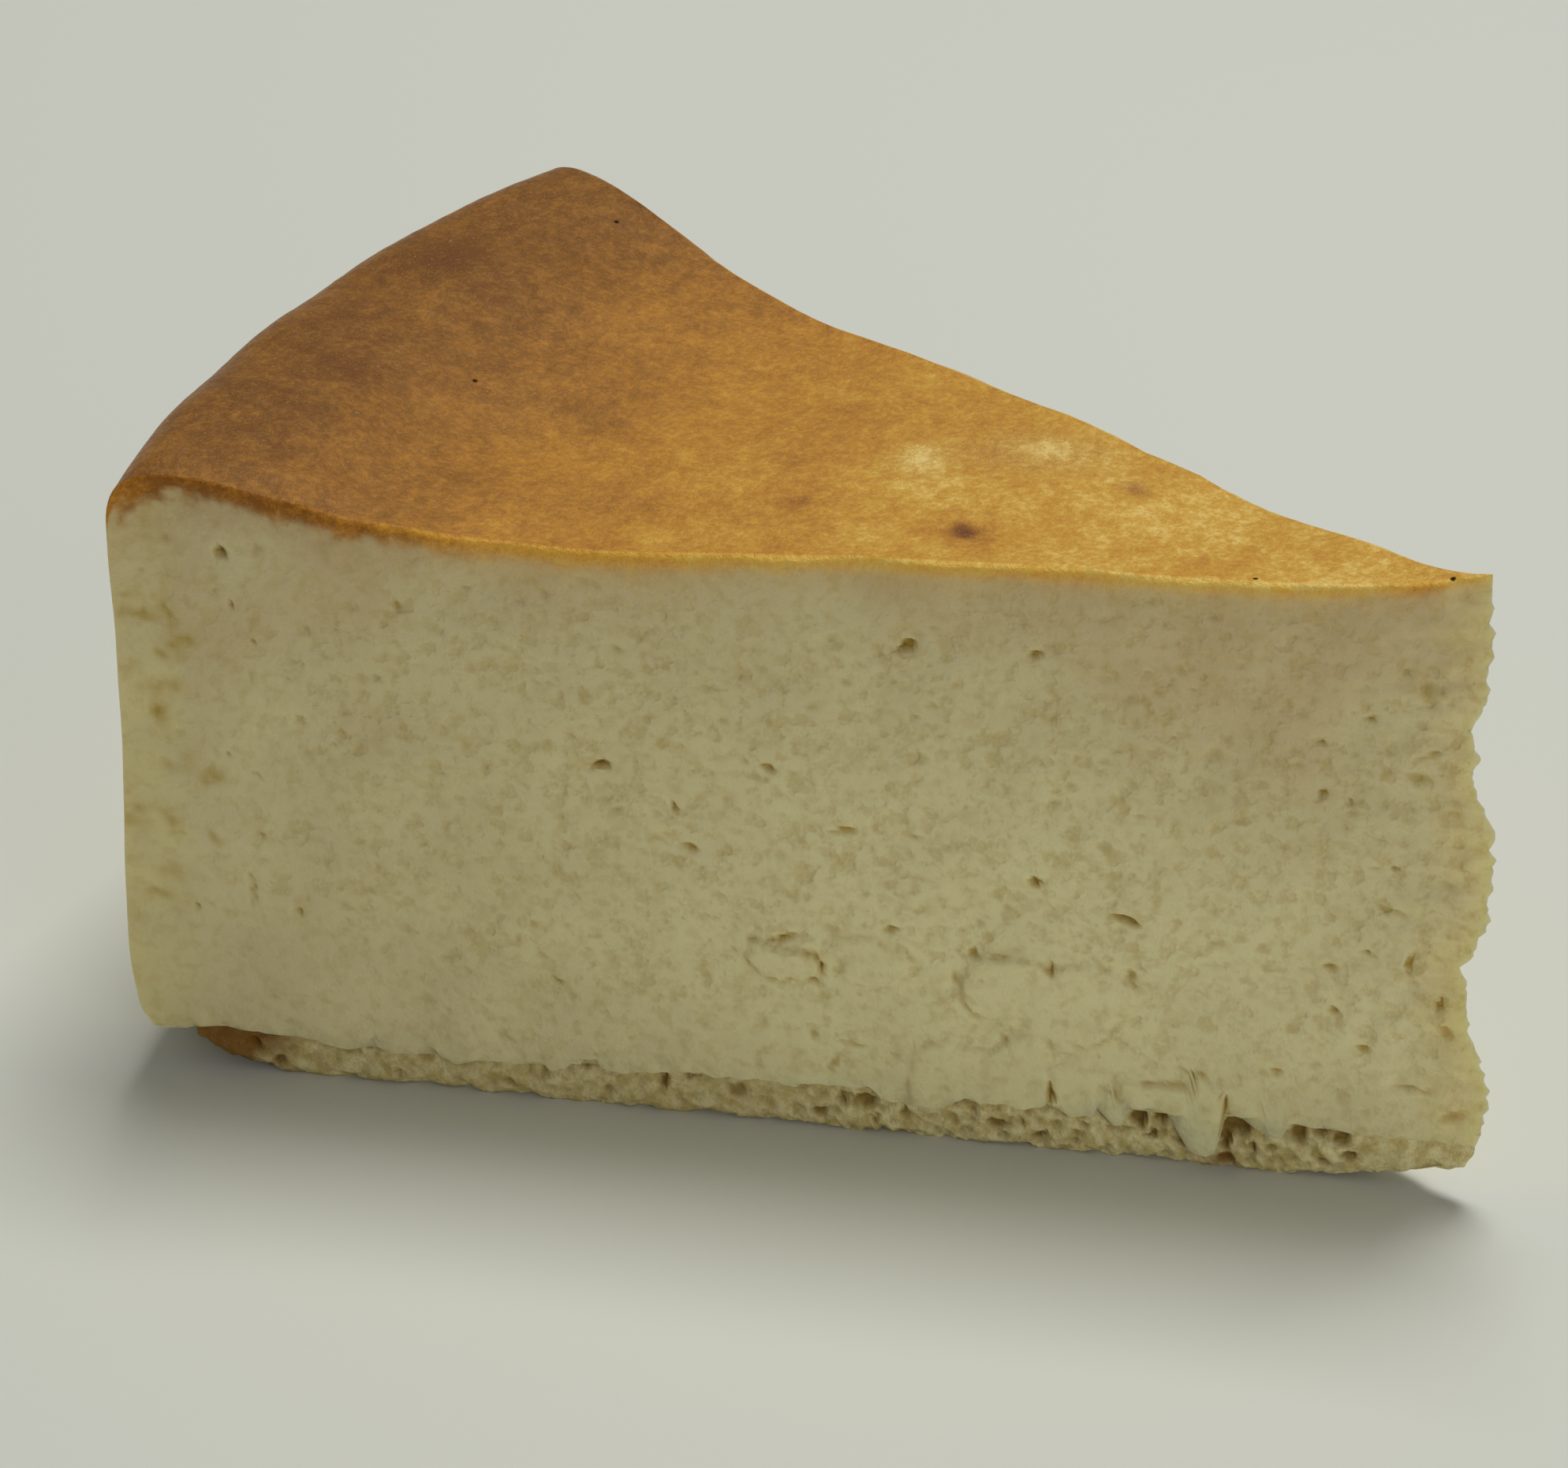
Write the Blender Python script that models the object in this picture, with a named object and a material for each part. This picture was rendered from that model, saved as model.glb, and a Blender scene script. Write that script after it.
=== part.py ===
"""Slice of baked cheesecake: a tenth of a round cake, lying as served.

Two solids in metres, +Z up: the baked filling, and the thin sponge base under it.
The tip of the slice points along +X, the cut faces lie half the slice's angle either
side of the X axis, the outer wall is at -X, and the slice stands on z = 0 with the
middle of its box at x = 0, y = 0.

Every surface is worked out in the cake's own terms: share is the way along a cut from
the tip (0) to the outer wall (1), and side is -1 on one cut face and 1 on the other.
"""
import math

import bmesh
import bpy
import numpy as np

MM = 0.001

# Driving sizes
CAKE_RADIUS = 114.0 * MM
HALF_ANGLE = math.radians(18.0)
SHOULDER_WIDTH = 5.4 * MM
SHOULDER_DROP = 4.8 * MM
SHOULDER_POWER = 2.3
BASE_RADIUS = 109.4 * MM
LAYER_GAP = 0.3 * MM

# Outlines in millimetres: distance from the tip, then height
TOP_LINE = ((0, 59.4), (4, 58.4), (12, 57.3), (29, 56.1), (37, 56.4), (60, 55.2),
            (76, 54.4), (90, 55.3), (101, 57.9), (106.5, 58.4), (114, 58.3))
BASE_TOP_LINE = ((0, 5.2), (10, 5.1), (23, 5.3), (35, 4.7), (60, 4.5), (75, 3.9), (90, 3.5),
                 (102, 4.1), (106, 4.2), (109.4, 3.9))
BASE_UNDER_LINE = ((0, 2.6), (3, 1.8), (8, 0.7), (13, 0), (101, 0), (103, 0.3), (106.5, 1.0),
                   (109.4, 3.0))
FILLING_LIP_LINE = ((111, 3.5), (113, 3.6), (114, 3.9))

# Outlines in millimetres: height, then distance
WALL_LINE = ((3.9, 113.1), (5.4, 113.9), (8.6, 114.5), (18, 114.7), (27, 114.3), (40, 114.0),
             (52, 114.1), (60, 114.0))
TIP_LINE = ((2.8, 0.5), (9.4, 2.5), (15.5, 0.8), (21.5, -0.5), (27.8, 1.4), (33.9, 1.5),
            (39.6, -0.6), (42.6, -0.3), (45.5, -1.0), (48.5, -0.1), (59.3, 0.1))
TIP_REACH = 5.0 * MM
WALL_REACH_POWER = 30
LIP_START = 110.2 * MM
LIP_FALL = 0.9 * MM

# Relief on the cut faces: distance from the tip, height, half width, half height, swell
FRONT_SWELLS = ((56.8, 17.5, 2.8, 1.8, 0.7), (32.7, 15.2, 6.0, 4.6, 0.6), (22.0, 8.5, 2.6, 1.6, 0.6))
RIM_SEAM_DISTANCE = 109.0 * MM
RIM_SEAM_WIDTH = 1.3 * MM
RIM_SEAM_DEPTH = 0.4 * MM
RIM_SEAM_HEIGHTS = (22.0 * MM, 54.0 * MM)
CUT_UNEVENNESS = 0.16 * MM
TIP_CRAG_DEPTH = 0.8 * MM
TIP_CRAG_REACH = 10.0 * MM
BASE_CRUMB_DEPTH = 0.35 * MM
TOP_UNEVENNESS = 0.22 * MM
BASE_EDGE_CRUMBLE = 0.5 * MM

# How finely the solids and their relief are divided
WAVES = 17
COLUMN_STEP = 2.6 * MM
RIM_COLUMNS = 6
ARC_STEP = 4.6 * MM
FILLING_ROWS = 20
BASE_ROWS = 3
ROW_CROWDING = 0.6
EDGE_STRIP = 1.5 * MM


def curve_through(points, at):
    """Smooth curve through points of one outline, read at the place given, in metres."""
    places, values = (np.array(points, float) * MM).T
    slopes = np.gradient(values, places)
    at = np.clip(at, places[0], places[-1])
    left = np.clip(np.searchsorted(places, at, side="right") - 1, 0, len(places) - 2)
    span = places[left + 1] - places[left]
    t = (at - places[left]) / span
    return ((1 + 2 * t) * (1 - t) ** 2 * values[left] + t * (1 - t) ** 2 * span * slopes[left]
            + t * t * (3 - 2 * t) * values[left + 1] - t * t * (1 - t) * span * slopes[left + 1])


def line_through(points, at):
    """Straight stretches through points of one outline, read at the place given, in metres."""
    places, values = (np.array(points, float) * MM).T
    return np.interp(at, places, values)


def unevenness(across, up, size, seed):
    """Smooth random field of about -1 to 1: sine waves turned evenly, of seeded length and phase."""
    draw = np.random.default_rng(seed)
    turn = np.arange(WAVES) * math.pi / WAVES
    wave = 2 * math.pi / (size * draw.uniform(0.6, 1.7, WAVES))
    phase = draw.uniform(0, 2 * math.pi, WAVES)
    waves = np.sin((across * np.cos(turn) + up * np.sin(turn)) * wave + phase)
    return waves.sum() / math.sqrt(WAVES)


def swelling(across, up, swells):
    """Low lumps on a cut face, each flat on top and round at its edge, with its own size."""
    total = 0.0
    for distance, height, half_width, half_height, swell in swells:
        spread = (((across / MM - distance) / half_width) ** 2
                  + ((up / MM - height) / half_height) ** 2)
        total += swell * MM * math.exp(-spread ** 2)
    return total


def top_height(distance, side):
    """Height of the browned top: raised tip and rim, a sunk middle and a rounded shoulder."""
    height = curve_through(TOP_LINE, distance)
    angle = side * HALF_ANGLE
    height += TOP_UNEVENNESS * unevenness(distance * math.cos(angle), distance * math.sin(angle),
                                          0.024, 5) * min(1.0, distance / (12 * MM))
    over = max(0.0, (distance - (CAKE_RADIUS - SHOULDER_WIDTH)) / SHOULDER_WIDTH)
    roundness = (1 - min(1.0, over) ** SHOULDER_POWER) ** (1 / SHOULDER_POWER)
    return height - SHOULDER_DROP * (1 - roundness)


class Filling:
    """The baked filling, from the sponge up to the browned top, with a lip round the sponge."""

    radius = CAKE_RADIUS
    rows = FILLING_ROWS

    def top(self, distance, side):
        return top_height(distance, side)

    def under(self, distance, side):
        """Clear of the sponge by the layer gap, then down to the lip outside it."""
        over_sponge = curve_through(BASE_TOP_LINE, distance) + LAYER_GAP
        lip = line_through(FILLING_LIP_LINE, distance)
        fall = np.clip((distance - LIP_START) / LIP_FALL, 0, 1)
        return over_sponge * (1 - fall) + lip * fall

    def wall(self, height):
        return curve_through(WALL_LINE, height)

    def relief(self, distance, height, side):
        """How far a cut face stands proud: lumps, the rim's seam and the crags by the tip."""
        rough = CUT_UNEVENNESS * unevenness(distance, height, 0.013, 11 if side < 0 else 12)
        if side < 0:
            rough += swelling(distance, height, FRONT_SWELLS)
        seam = math.exp(-((distance - RIM_SEAM_DISTANCE) / RIM_SEAM_WIDTH) ** 2)
        if RIM_SEAM_HEIGHTS[0] < height < RIM_SEAM_HEIGHTS[1]:
            rough -= RIM_SEAM_DEPTH * seam * (1 + unevenness(0.0, height, 0.009, 61))
        crag = unevenness(distance, height, 0.0075, 21 if side < 0 else 22)
        rough += TIP_CRAG_DEPTH * (crag - 0.5) * math.exp(-distance / TIP_CRAG_REACH)
        return rough * min(1.0, distance / (6 * MM))


class SpongeBase:
    """The thin sponge under the filling: flat beneath, worn away at the tip and outer edge."""

    radius = BASE_RADIUS
    rows = BASE_ROWS

    def top(self, distance, side):
        return curve_through(BASE_TOP_LINE, distance)

    def under(self, distance, side):
        flat = max(0.0, line_through(BASE_UNDER_LINE, distance))
        crumble = 0.5 + 0.5 * unevenness(distance, side * 0.05, 0.006, 31)
        at_cut = abs(side) > 0.999
        return flat + (BASE_EDGE_CRUMBLE * max(0.0, crumble) if at_cut else 0.0)

    def wall(self, height):
        return BASE_RADIUS

    def relief(self, distance, height, side):
        """Crumbly lumps on the sponge's cut edges."""
        rough = BASE_CRUMB_DEPTH * (unevenness(distance, height, 0.0065, 41 if side < 0 else 42) - 0.6)
        return rough * min(1.0, distance / (6 * MM))


def point_at(layer, share, side, height):
    """Place of a point of the slice, with its tip's ragged edge, before the slice is centred."""
    distance = share * layer.radius
    distance += (layer.wall(height) - layer.radius) * share ** WALL_REACH_POWER
    angle = side * HALF_ANGLE
    x = -distance * math.cos(angle)
    y = distance * math.sin(angle)
    x += curve_through(TIP_LINE, height) * math.exp(-distance / TIP_REACH)
    if abs(side) > 0.999:
        proud = layer.relief(share * layer.radius, height, side)
        x += proud * math.sin(HALF_ANGLE)
        y += proud * math.cos(HALF_ANGLE) * side
    return np.array((x, y, height))


def column_shares(radius):
    """Even steps from the tip to the shoulder, then steps at even turns round the shoulder."""
    shoulder_start = radius - SHOULDER_WIDTH
    steps = round(shoulder_start / COLUMN_STEP)
    turns = np.arange(1, RIM_COLUMNS + 1) * (math.pi / 2 / RIM_COLUMNS)
    distances = np.concatenate((np.arange(steps + 1) * shoulder_start / steps,
                                shoulder_start + SHOULDER_WIDTH * np.sin(turns)))
    return distances / radius


def row_levels(rows):
    """Steps from 0 to 1 that crowd together towards both ends."""
    level = np.arange(rows + 1) / rows
    return level - ROW_CROWDING * np.sin(2 * math.pi * level) / (2 * math.pi)


def sides_across(distance):
    """Places from one cut face to the other, with a narrow strip along each cut."""
    width = 2 * HALF_ANGLE * distance
    if width < 4 * EDGE_STRIP:
        return np.linspace(-1, 1, 3 if width > EDGE_STRIP else 2)
    steps = max(1, round((width - 2 * EDGE_STRIP) / ARC_STEP))
    inner = 1 - 2 * EDGE_STRIP / width
    return np.concatenate(((-1,), np.linspace(-inner, inner, steps + 1), (1,)))


def stitch(mesh, row_a, row_b, upward):
    """Fill the strip between two rows of vertices that may differ in number."""
    i = j = 0
    last_a = len(row_a) - 1
    last_b = len(row_b) - 1
    while i < last_a or j < last_b:
        next_a = (i + 1) / last_a if i < last_a else math.inf
        next_b = (j + 1) / last_b if j < last_b else math.inf
        if next_a <= next_b:
            corners = (row_a[i], row_a[i + 1], row_b[j])
            i += 1
        else:
            corners = (row_a[i], row_b[j + 1], row_b[j])
            j += 1
        mesh.faces.new(corners if upward else corners[::-1])


def build_layer(name, layer, material):
    """One closed solid: a skin round its cut faces and outer wall, then its top and underside."""
    mesh = bmesh.new()
    shares = column_shares(layer.radius)
    rim_sides = sides_across(layer.radius)
    levels = row_levels(layer.rows)

    def column(share, side):
        distance = share * layer.radius
        low = layer.under(distance, side)
        high = layer.top(distance, side)
        return [mesh.verts.new(point_at(layer, share, side, low + (high - low) * level))
                for level in levels]

    front = [column(share, -1.0) for share in shares]
    arc = [column(1.0, side) for side in rim_sides[1:-1]]
    back = [front[0]] + [column(share, 1.0) for share in shares[1:]]
    ring = front + arc + back[:0:-1]
    for one, following in zip(ring, ring[1:] + ring[:1]):
        stitch(mesh, one, following, upward=False)

    def cross_rows(level, height_of):
        rows = [[front[0][level]]]
        for index, share in enumerate(shares[1:-1], start=1):
            distance = share * layer.radius
            between = [mesh.verts.new(point_at(layer, share, side, height_of(distance, side)))
                       for side in sides_across(distance)[1:-1]]
            rows.append([front[index][level]] + between + [back[index][level]])
        rows.append([front[-1][level]] + [one[level] for one in arc] + [back[-1][level]])
        return rows

    for level, height_of, upward in ((-1, layer.top, True), (0, layer.under, False)):
        rows = cross_rows(level, height_of)
        for one, following in zip(rows, rows[1:]):
            stitch(mesh, one, following, upward)

    bmesh.ops.recalc_face_normals(mesh, faces=mesh.faces)
    data = bpy.data.meshes.new(name)
    mesh.to_mesh(data)
    mesh.free()
    data.materials.append(material)
    data.shade_smooth()
    data.set_sharp_from_angle(angle=math.radians(40))
    piece = bpy.data.objects.new(name, data)
    bpy.context.scene.collection.objects.link(piece)
    return piece


def food_material(name, colour, roughness):
    """Matt food finish."""
    material = bpy.data.materials.new(name)
    material.use_nodes = True
    shader = material.node_tree.nodes["Principled BSDF"]
    shader.inputs["Base Color"].default_value = (*colour, 1.0)
    shader.inputs["Roughness"].default_value = roughness
    return material


def centre_on_floor(pieces):
    """Move the meshes so that the middle of their common box is over the origin."""
    corners = np.array([vertex.co for piece in pieces for vertex in piece.data.vertices])
    middle = (corners.min(axis=0) + corners.max(axis=0)) / 2
    for piece in pieces:
        for vertex in piece.data.vertices:
            vertex.co.x -= middle[0]
            vertex.co.y -= middle[1]


def main():
    for old in list(bpy.data.objects):
        bpy.data.objects.remove(old)
    filling = build_layer("filling", Filling(), food_material("baked_filling", (0.80, 0.66, 0.38), 0.55))
    sponge = build_layer("sponge_base", SpongeBase(), food_material("sponge", (0.62, 0.43, 0.19), 0.85))
    centre_on_floor([filling, sponge])


main()
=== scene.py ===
"""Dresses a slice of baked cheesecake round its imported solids, and sets its studio.

Run as a script, it makes the filling with its browned top, the sponge base and the
studio. Shapes are worked out in the cake's own terms: along is the distance from
the tip beside a cut, side is -1 on the cut that faces the camera and 1 on the other, and
the tip of the slice points along +X.
"""
import itertools
import math

import bmesh
import bpy
import numpy as np
from mathutils import Matrix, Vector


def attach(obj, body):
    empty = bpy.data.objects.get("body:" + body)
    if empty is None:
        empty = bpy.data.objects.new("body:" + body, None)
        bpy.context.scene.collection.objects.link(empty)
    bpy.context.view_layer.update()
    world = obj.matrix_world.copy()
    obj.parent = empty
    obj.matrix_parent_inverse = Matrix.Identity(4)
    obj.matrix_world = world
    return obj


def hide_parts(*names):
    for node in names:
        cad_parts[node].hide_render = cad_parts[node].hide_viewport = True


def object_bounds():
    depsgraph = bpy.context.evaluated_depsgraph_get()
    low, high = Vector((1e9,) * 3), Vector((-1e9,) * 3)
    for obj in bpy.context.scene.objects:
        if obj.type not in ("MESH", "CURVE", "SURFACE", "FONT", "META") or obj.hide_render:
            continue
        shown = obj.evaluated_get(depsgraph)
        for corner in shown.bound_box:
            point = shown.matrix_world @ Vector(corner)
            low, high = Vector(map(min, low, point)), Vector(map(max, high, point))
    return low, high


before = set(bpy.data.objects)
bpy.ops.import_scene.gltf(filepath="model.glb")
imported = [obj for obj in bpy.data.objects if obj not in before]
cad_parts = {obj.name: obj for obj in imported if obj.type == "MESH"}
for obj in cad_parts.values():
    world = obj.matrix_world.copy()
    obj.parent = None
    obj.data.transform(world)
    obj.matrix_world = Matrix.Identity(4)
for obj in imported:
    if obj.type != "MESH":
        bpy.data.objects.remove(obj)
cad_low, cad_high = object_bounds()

bl_info = {
    "name": "Baked cheesecake slice",
    "version": (1, 0, 0),
    "blender": (4, 5, 0),
    "location": "View3D > Sidebar > Cheesecake",
    "description": "Makes the filling, sponge and studio of a slice of baked cheesecake",
    "category": "Mesh",
}

MM = 0.001

# Outlines in millimetres: distance from the tip, then height
TOP_LINE = ((0, 59.4), (4, 58.4), (12, 57.3), (29, 56.1), (37, 56.4), (60, 55.2),
            (76, 54.4), (90, 55.3), (101, 57.9), (106.5, 58.4), (114, 58.3))
BASE_TOP_LINE = ((0, 5.2), (10, 5.1), (23, 5.3), (35, 4.7), (60, 4.5), (75, 3.9), (90, 3.5),
                 (102, 4.1), (106, 4.2), (109.4, 3.9))
BASE_UNDER_LINE = ((0, 2.6), (3, 1.8), (8, 0.7), (13, 0), (101, 0), (103, 0.3), (106.5, 1.0),
                   (109.4, 3.0))
FILLING_LIP_LINE = ((111, 3.5), (113, 3.6), (114, 3.9))

# Outlines in millimetres: height, then distance
WALL_LINE = ((3.9, 113.1), (5.4, 113.9), (8.6, 114.5), (18, 114.7), (27, 114.3), (40, 114.0),
             (52, 114.1), (60, 114.0))
TIP_LINE = ((2.8, 0.6), (4.2, 1.2), (6, 1.8), (8, 2.2), (9.5, 2.4), (11, 2.3), (13, 1.8), (14.2, 1.5),
            (15.2, 0.9), (16.2, 0.4), (19.5, 0.0), (21.3, -0.15), (22.2, -0.85), (22.8, -0.5),
            (23.4, 0.2), (24.6, 0.55), (26, 1.0), (27, 1.55), (29, 1.35), (32.2, 1.65), (34, 1.5),
            (36, 1.55), (37, 1.0), (38, 0.4), (39.2, -0.3), (40.8, -0.7), (42.3, -0.25), (43.6, -0.5),
            (45, -1.1), (46.2, -0.5), (47.3, 0.2), (49.5, 0.15), (51.4, 0.2), (52.2, 0.75), (52.9, 0.4),
            (55, 0.3), (57, 0.1), (59.4, 0.05))

# Outlines in millimetres: distance from the tip, then how far the front crest sags or the back one rises
FRONT_SAG_LINE = ((88, 0), (91, 0.25), (93, 0.6), (95, 0.8), (98, 0.95), (100, 1.15), (102, 0.95),
                  (105, 0.6), (109, 0.6), (112, 0.3), (114, 0))
BACK_RISE_LINE = ((0, 0), (24, 0), (27, 0.15), (31, 0.4), (34, 0.05), (37.5, -0.3), (41, -0.05),
                  (47, 0.25), (56, 0.15), (66, 0.35), (80, 0.3), (96, 0))
WIDEST_WALL = max(distance for height, distance in WALL_LINE) * MM
TIP_X = cad_low[0] + WIDEST_WALL

# The slice's own sizes, the same as in its solids
SHOULDER_POWER = 2.3
TIP_REACH = 5.0 * MM
WALL_REACH_POWER = 30
LIP_START = 110.2 * MM
LIP_FALL = 0.9 * MM
BASE_RADIUS = 109.4 * MM
# Slow waves of the top and of the cuts
WAVES = 17
TOP_WAVE = 24 * MM
CUT_WAVE = 13 * MM
# Low swellings of the front cut: along, height, half width, half height, rise. Half of the rise
# is left to the raised sheets that lie on them.
FRONT_SWELLS = ((56.8, 17.5, 2.8, 1.8, 0.7), (32.7, 15.2, 6.0, 4.6, 0.6), (22.0, 8.5, 2.6, 1.6, 0.6))
SWELL_SHARE = 0.5

# Browning by distance from the tip in millimetres, 0 pale to 1 dark: on the top, then on its cut edge
BROWNING_LINE = ((0, 0.27), (12, 0.24), (30, 0.26), (45, 0.30), (52, 0.345), (60, 0.43), (70, 0.475),
                 (78, 0.52), (84, 0.58), (90, 0.66), (96, 0.76), (102, 0.84), (108, 0.88), (116, 0.82))
EDGE_BROWNING_LINE = ((0, 0.20), (3, 0.32), (5.5, 0.62), (9, 0.30), (14, 0.22), (28, 0.26), (35, 0.46),
                      (42, 0.32), (58, 0.30), (66, 0.46), (80, 0.52), (86, 0.66), (92, 0.82), (97, 0.93),
                      (104, 1.0), (109, 0.97), (114, 0.72))
# How far the browned skin reaches down the cut, in millimetres, by distance from the tip
SKIN_DEPTH_LINE = ((0, 0.6), (4, 0.9), (6, 1.2), (9, 1.0), (30, 1.0), (50, 1.05), (62, 1.15), (68, 1.5),
                   (85, 1.5), (94, 1.6), (100, 1.75), (106, 2.1), (110, 2.3), (114, 3.0))

# Marks on the top: along the front cut, in from it, half length, half width, strength
DARK_MARKS = ((43.4, 6.2, 1.8, 1.5, 1.0), (42.6, 5.6, 3.4, 2.2, 0.5), (30.0, 14.6, 1.5, 1.2, 0.6),
              (29.0, 5.8, 1.8, 1.4, 0.22), (98.6, 22.6, 4.2, 2.4, 0.5), (95.7, 43.5, 3.6, 3.4, 0.6),
              (76.5, 21.6, 3.0, 2.0, 0.42), (58.0, 9.6, 1.6, 1.3, 0.55), (58.8, 16.6, 1.8, 1.4, 0.25),
              (61.0, 6.5, 2.0, 1.2, 0.25), (86.0, 10.5, 3.0, 1.6, 0.15), (104.0, 3.5, 3.0, 1.6, 0.2),
              (90.0, 29.5, 6.5, 5.5, 0.2), (75.5, 27.5, 6.5, 5.5, 0.22), (59.0, 12.0, 4.0, 3.5, 0.16))
PALE_MARKS = ((49.0, 18.6, 2.4, 2.7, 1.0), (48.0, 14.5, 4.0, 3.0, 0.5), (38.6, 20.6, 2.6, 1.8, 0.5),
              (22.5, 8.5, 3.4, 3.4, 0.3), (52.0, 3.5, 4.0, 1.4, 0.2), (66.5, 3.5, 6.0, 2.6, 0.45),
              (67.0, 13.0, 5.0, 3.0, 0.2), (78.0, 3.0, 7.0, 2.4, 0.35), (94.5, 9.0, 4.0, 3.5, 0.25),
              (62.5, 30.0, 5.0, 4.0, 0.3))
GLOSS_MARKS = ((48.4, 18.2, 2.8, 3.2, 0.8), (39.0, 20.2, 6.0, 3.4, 1.0), (30.3, 15.4, 1.4, 1.0, 0.8))
PIN_HOLES = ((88.8, 25.7), (82.8, 55.2), (18.8, 0.8), (3.1, 0.35))
PIN_HOLE_RADIUS = 0.22 * MM

# Hollows on the front cut: along, height, half length, half width, turn in degrees, depth
FRONT_HOLLOWS = (
    (104.5, 51.4, 0.55, 0.5, 0, 1.0), (103.8, 46.4, 0.35, 0.3, 60, 0.4), (102.0, 43.0, 0.3, 0.3, 0, 0.4),
    (89.5, 47.9, 0.6, 0.35, 20, 0.5), (47.1, 48.1, 1.2, 0.42, -32, 1.0), (36.3, 48.5, 0.65, 0.35, -20, 0.7),
    (72.8, 34.2, 0.95, 0.42, -12, 1.0), (58.4, 35.4, 0.75, 0.32, 5, 0.7), (66.3, 30.8, 0.3, 0.55, 10, 0.7),
    (52.2, 30.1, 1.2, 0.26, -8, 0.6), (65.1, 27.2, 0.8, 0.28, 10, 0.5), (36.1, 26.9, 0.5, 0.5, 0, 0.7),
    (28.5, 24.0, 1.3, 0.42, 15, 1.1), (76.8, 12.5, 0.75, 0.32, 12, 0.7), (99.3, 17.0, 0.55, 0.32, 0, 0.5),
    (108.2, 16.6, 0.3, 0.35, 0, 0.5), (103.3, 19.0, 0.24, 2.4, 3, 0.35), (105.0, 31.9, 0.3, 0.3, 0, 0.3),
    (98.5, 35.8, 0.5, 0.5, 0, 0.3), (102.2, 24.4, 0.3, 0.4, 0, 0.35), (57.1, 19.1, 1.6, 0.4, -14, 0.5),
    (54.2, 16.6, 0.26, 1.2, -8, 0.6), (54.7, 15.1, 0.6, 0.4, 20, 0.6), (57.0, 14.8, 0.9, 0.22, 0, 0.4),
    (54.8, 9.7, 0.5, 0.6, 0, 0.4), (51.6, 9.1, 1.5, 0.25, 10, 0.35), (53.0, 6.8, 0.28, 1.3, 18, 0.4),
    (38.4, 11.1, 0.3, 1.0, -35, 0.3), (41.2, 19.3, 0.55, 0.5, 0, 0.5), (42.6, 16.7, 0.4, 0.7, 0, 0.4),
    (34.6, 18.7, 0.28, 0.9, 12, 0.5), (27.9, 18.6, 0.6, 0.6, 0, 0.45), (48.0, 20.9, 0.9, 0.3, -8, 0.6),
    (22.4, 9.4, 1.7, 0.3, 19, 0.45), (19.6, 6.4, 0.26, 1.6, 2, 0.5), (34.4, 6.4, 0.24, 1.7, 2, 0.7),
    (4.6, 48.0, 0.7, 1.6, -20, 0.35), (4.0, 42.3, 1.3, 0.3, -25, 0.35), (4.8, 40.0, 1.3, 0.5, 0, 0.35),
    (2.2, 37.2, 0.8, 0.4, 0, 0.3), (6.8, 31.3, 0.4, 0.35, 0, 0.5), (13.5, 28.2, 0.25, 0.35, 0, 0.6),
    (7.2, 27.4, 1.6, 0.4, 20, 0.4), (8.3, 22.8, 0.6, 0.32, 0, 0.6), (4.6, 22.2, 0.4, 1.4, 0, 0.6),
    (11.4, 21.0, 0.7, 0.35, 0, 0.5), (2.2, 18.6, 0.4, 0.6, 0, 0.8), (1.9, 16.0, 0.6, 0.8, 0, 0.4),
    (11.0, 17.0, 0.4, 0.5, 0, 0.5), (8.6, 13.6, 0.6, 0.3, 0, 0.8), (15.4, 10.6, 0.6, 0.5, 0, 0.5),
    (5.0, 10.2, 1.8, 0.3, 4, 0.35), (1.9, 8.0, 1.4, 0.45, -35, 0.4), (8.8, 45.1, 0.5, 0.3, 0, 0.5),
    (12.8, 42.6, 0.5, 0.4, 0, 0.5), (6.3, 49.7, 0.5, 0.5, 0, 0.4), (12.7, 37.9, 0.3, 0.4, 0, 0.5),
    (10.5, 37.2, 0.4, 0.4, 0, 0.4))
# Soft brown blotches of painted shade in the torn seam where the dense outer filling meets the middle: along,
# height, half length, half width, strength, before they are spread and strengthened
SEAM_SHADE_SPREAD = 1.35
SEAM_SHADE_STRENGTH = 1.8
SEAM_SHADE_BLOTCHES = ((108.2, 42.6, 1.0, 0.9, 0.55), (109.1, 45.2, 0.4, 1.5, 0.5), (109.7, 46.7, 0.35, 0.35, 0.4),
               (111.6, 45.1, 1.2, 0.5, 0.5), (112.4, 46.9, 0.8, 0.4, 0.3), (110.3, 41.3, 0.5, 0.5, 0.5),
               (110.1, 38.0, 1.3, 0.7, 0.45), (110.6, 35.5, 0.6, 1.0, 0.5), (113.2, 39.2, 1.0, 0.4, 0.25),
               (106.4, 29.8, 0.7, 0.7, 0.5), (108.5, 31.0, 0.9, 0.8, 0.25), (112.9, 24.9, 0.9, 0.9, 0.35),
               (110.0, 25.7, 0.8, 0.7, 0.4), (109.6, 24.0, 0.4, 0.4, 0.35), (106.4, 23.4, 0.4, 0.9, 0.35),
               (109.8, 19.9, 0.9, 0.7, 0.35), (111.0, 17.2, 1.3, 0.6, 0.3), (109.8, 33.2, 0.6, 0.3, 0.3),
               (110.3, 53.0, 0.7, 1.6, 0.25), (109.0, 49.0, 0.5, 1.0, 0.2))
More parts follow.
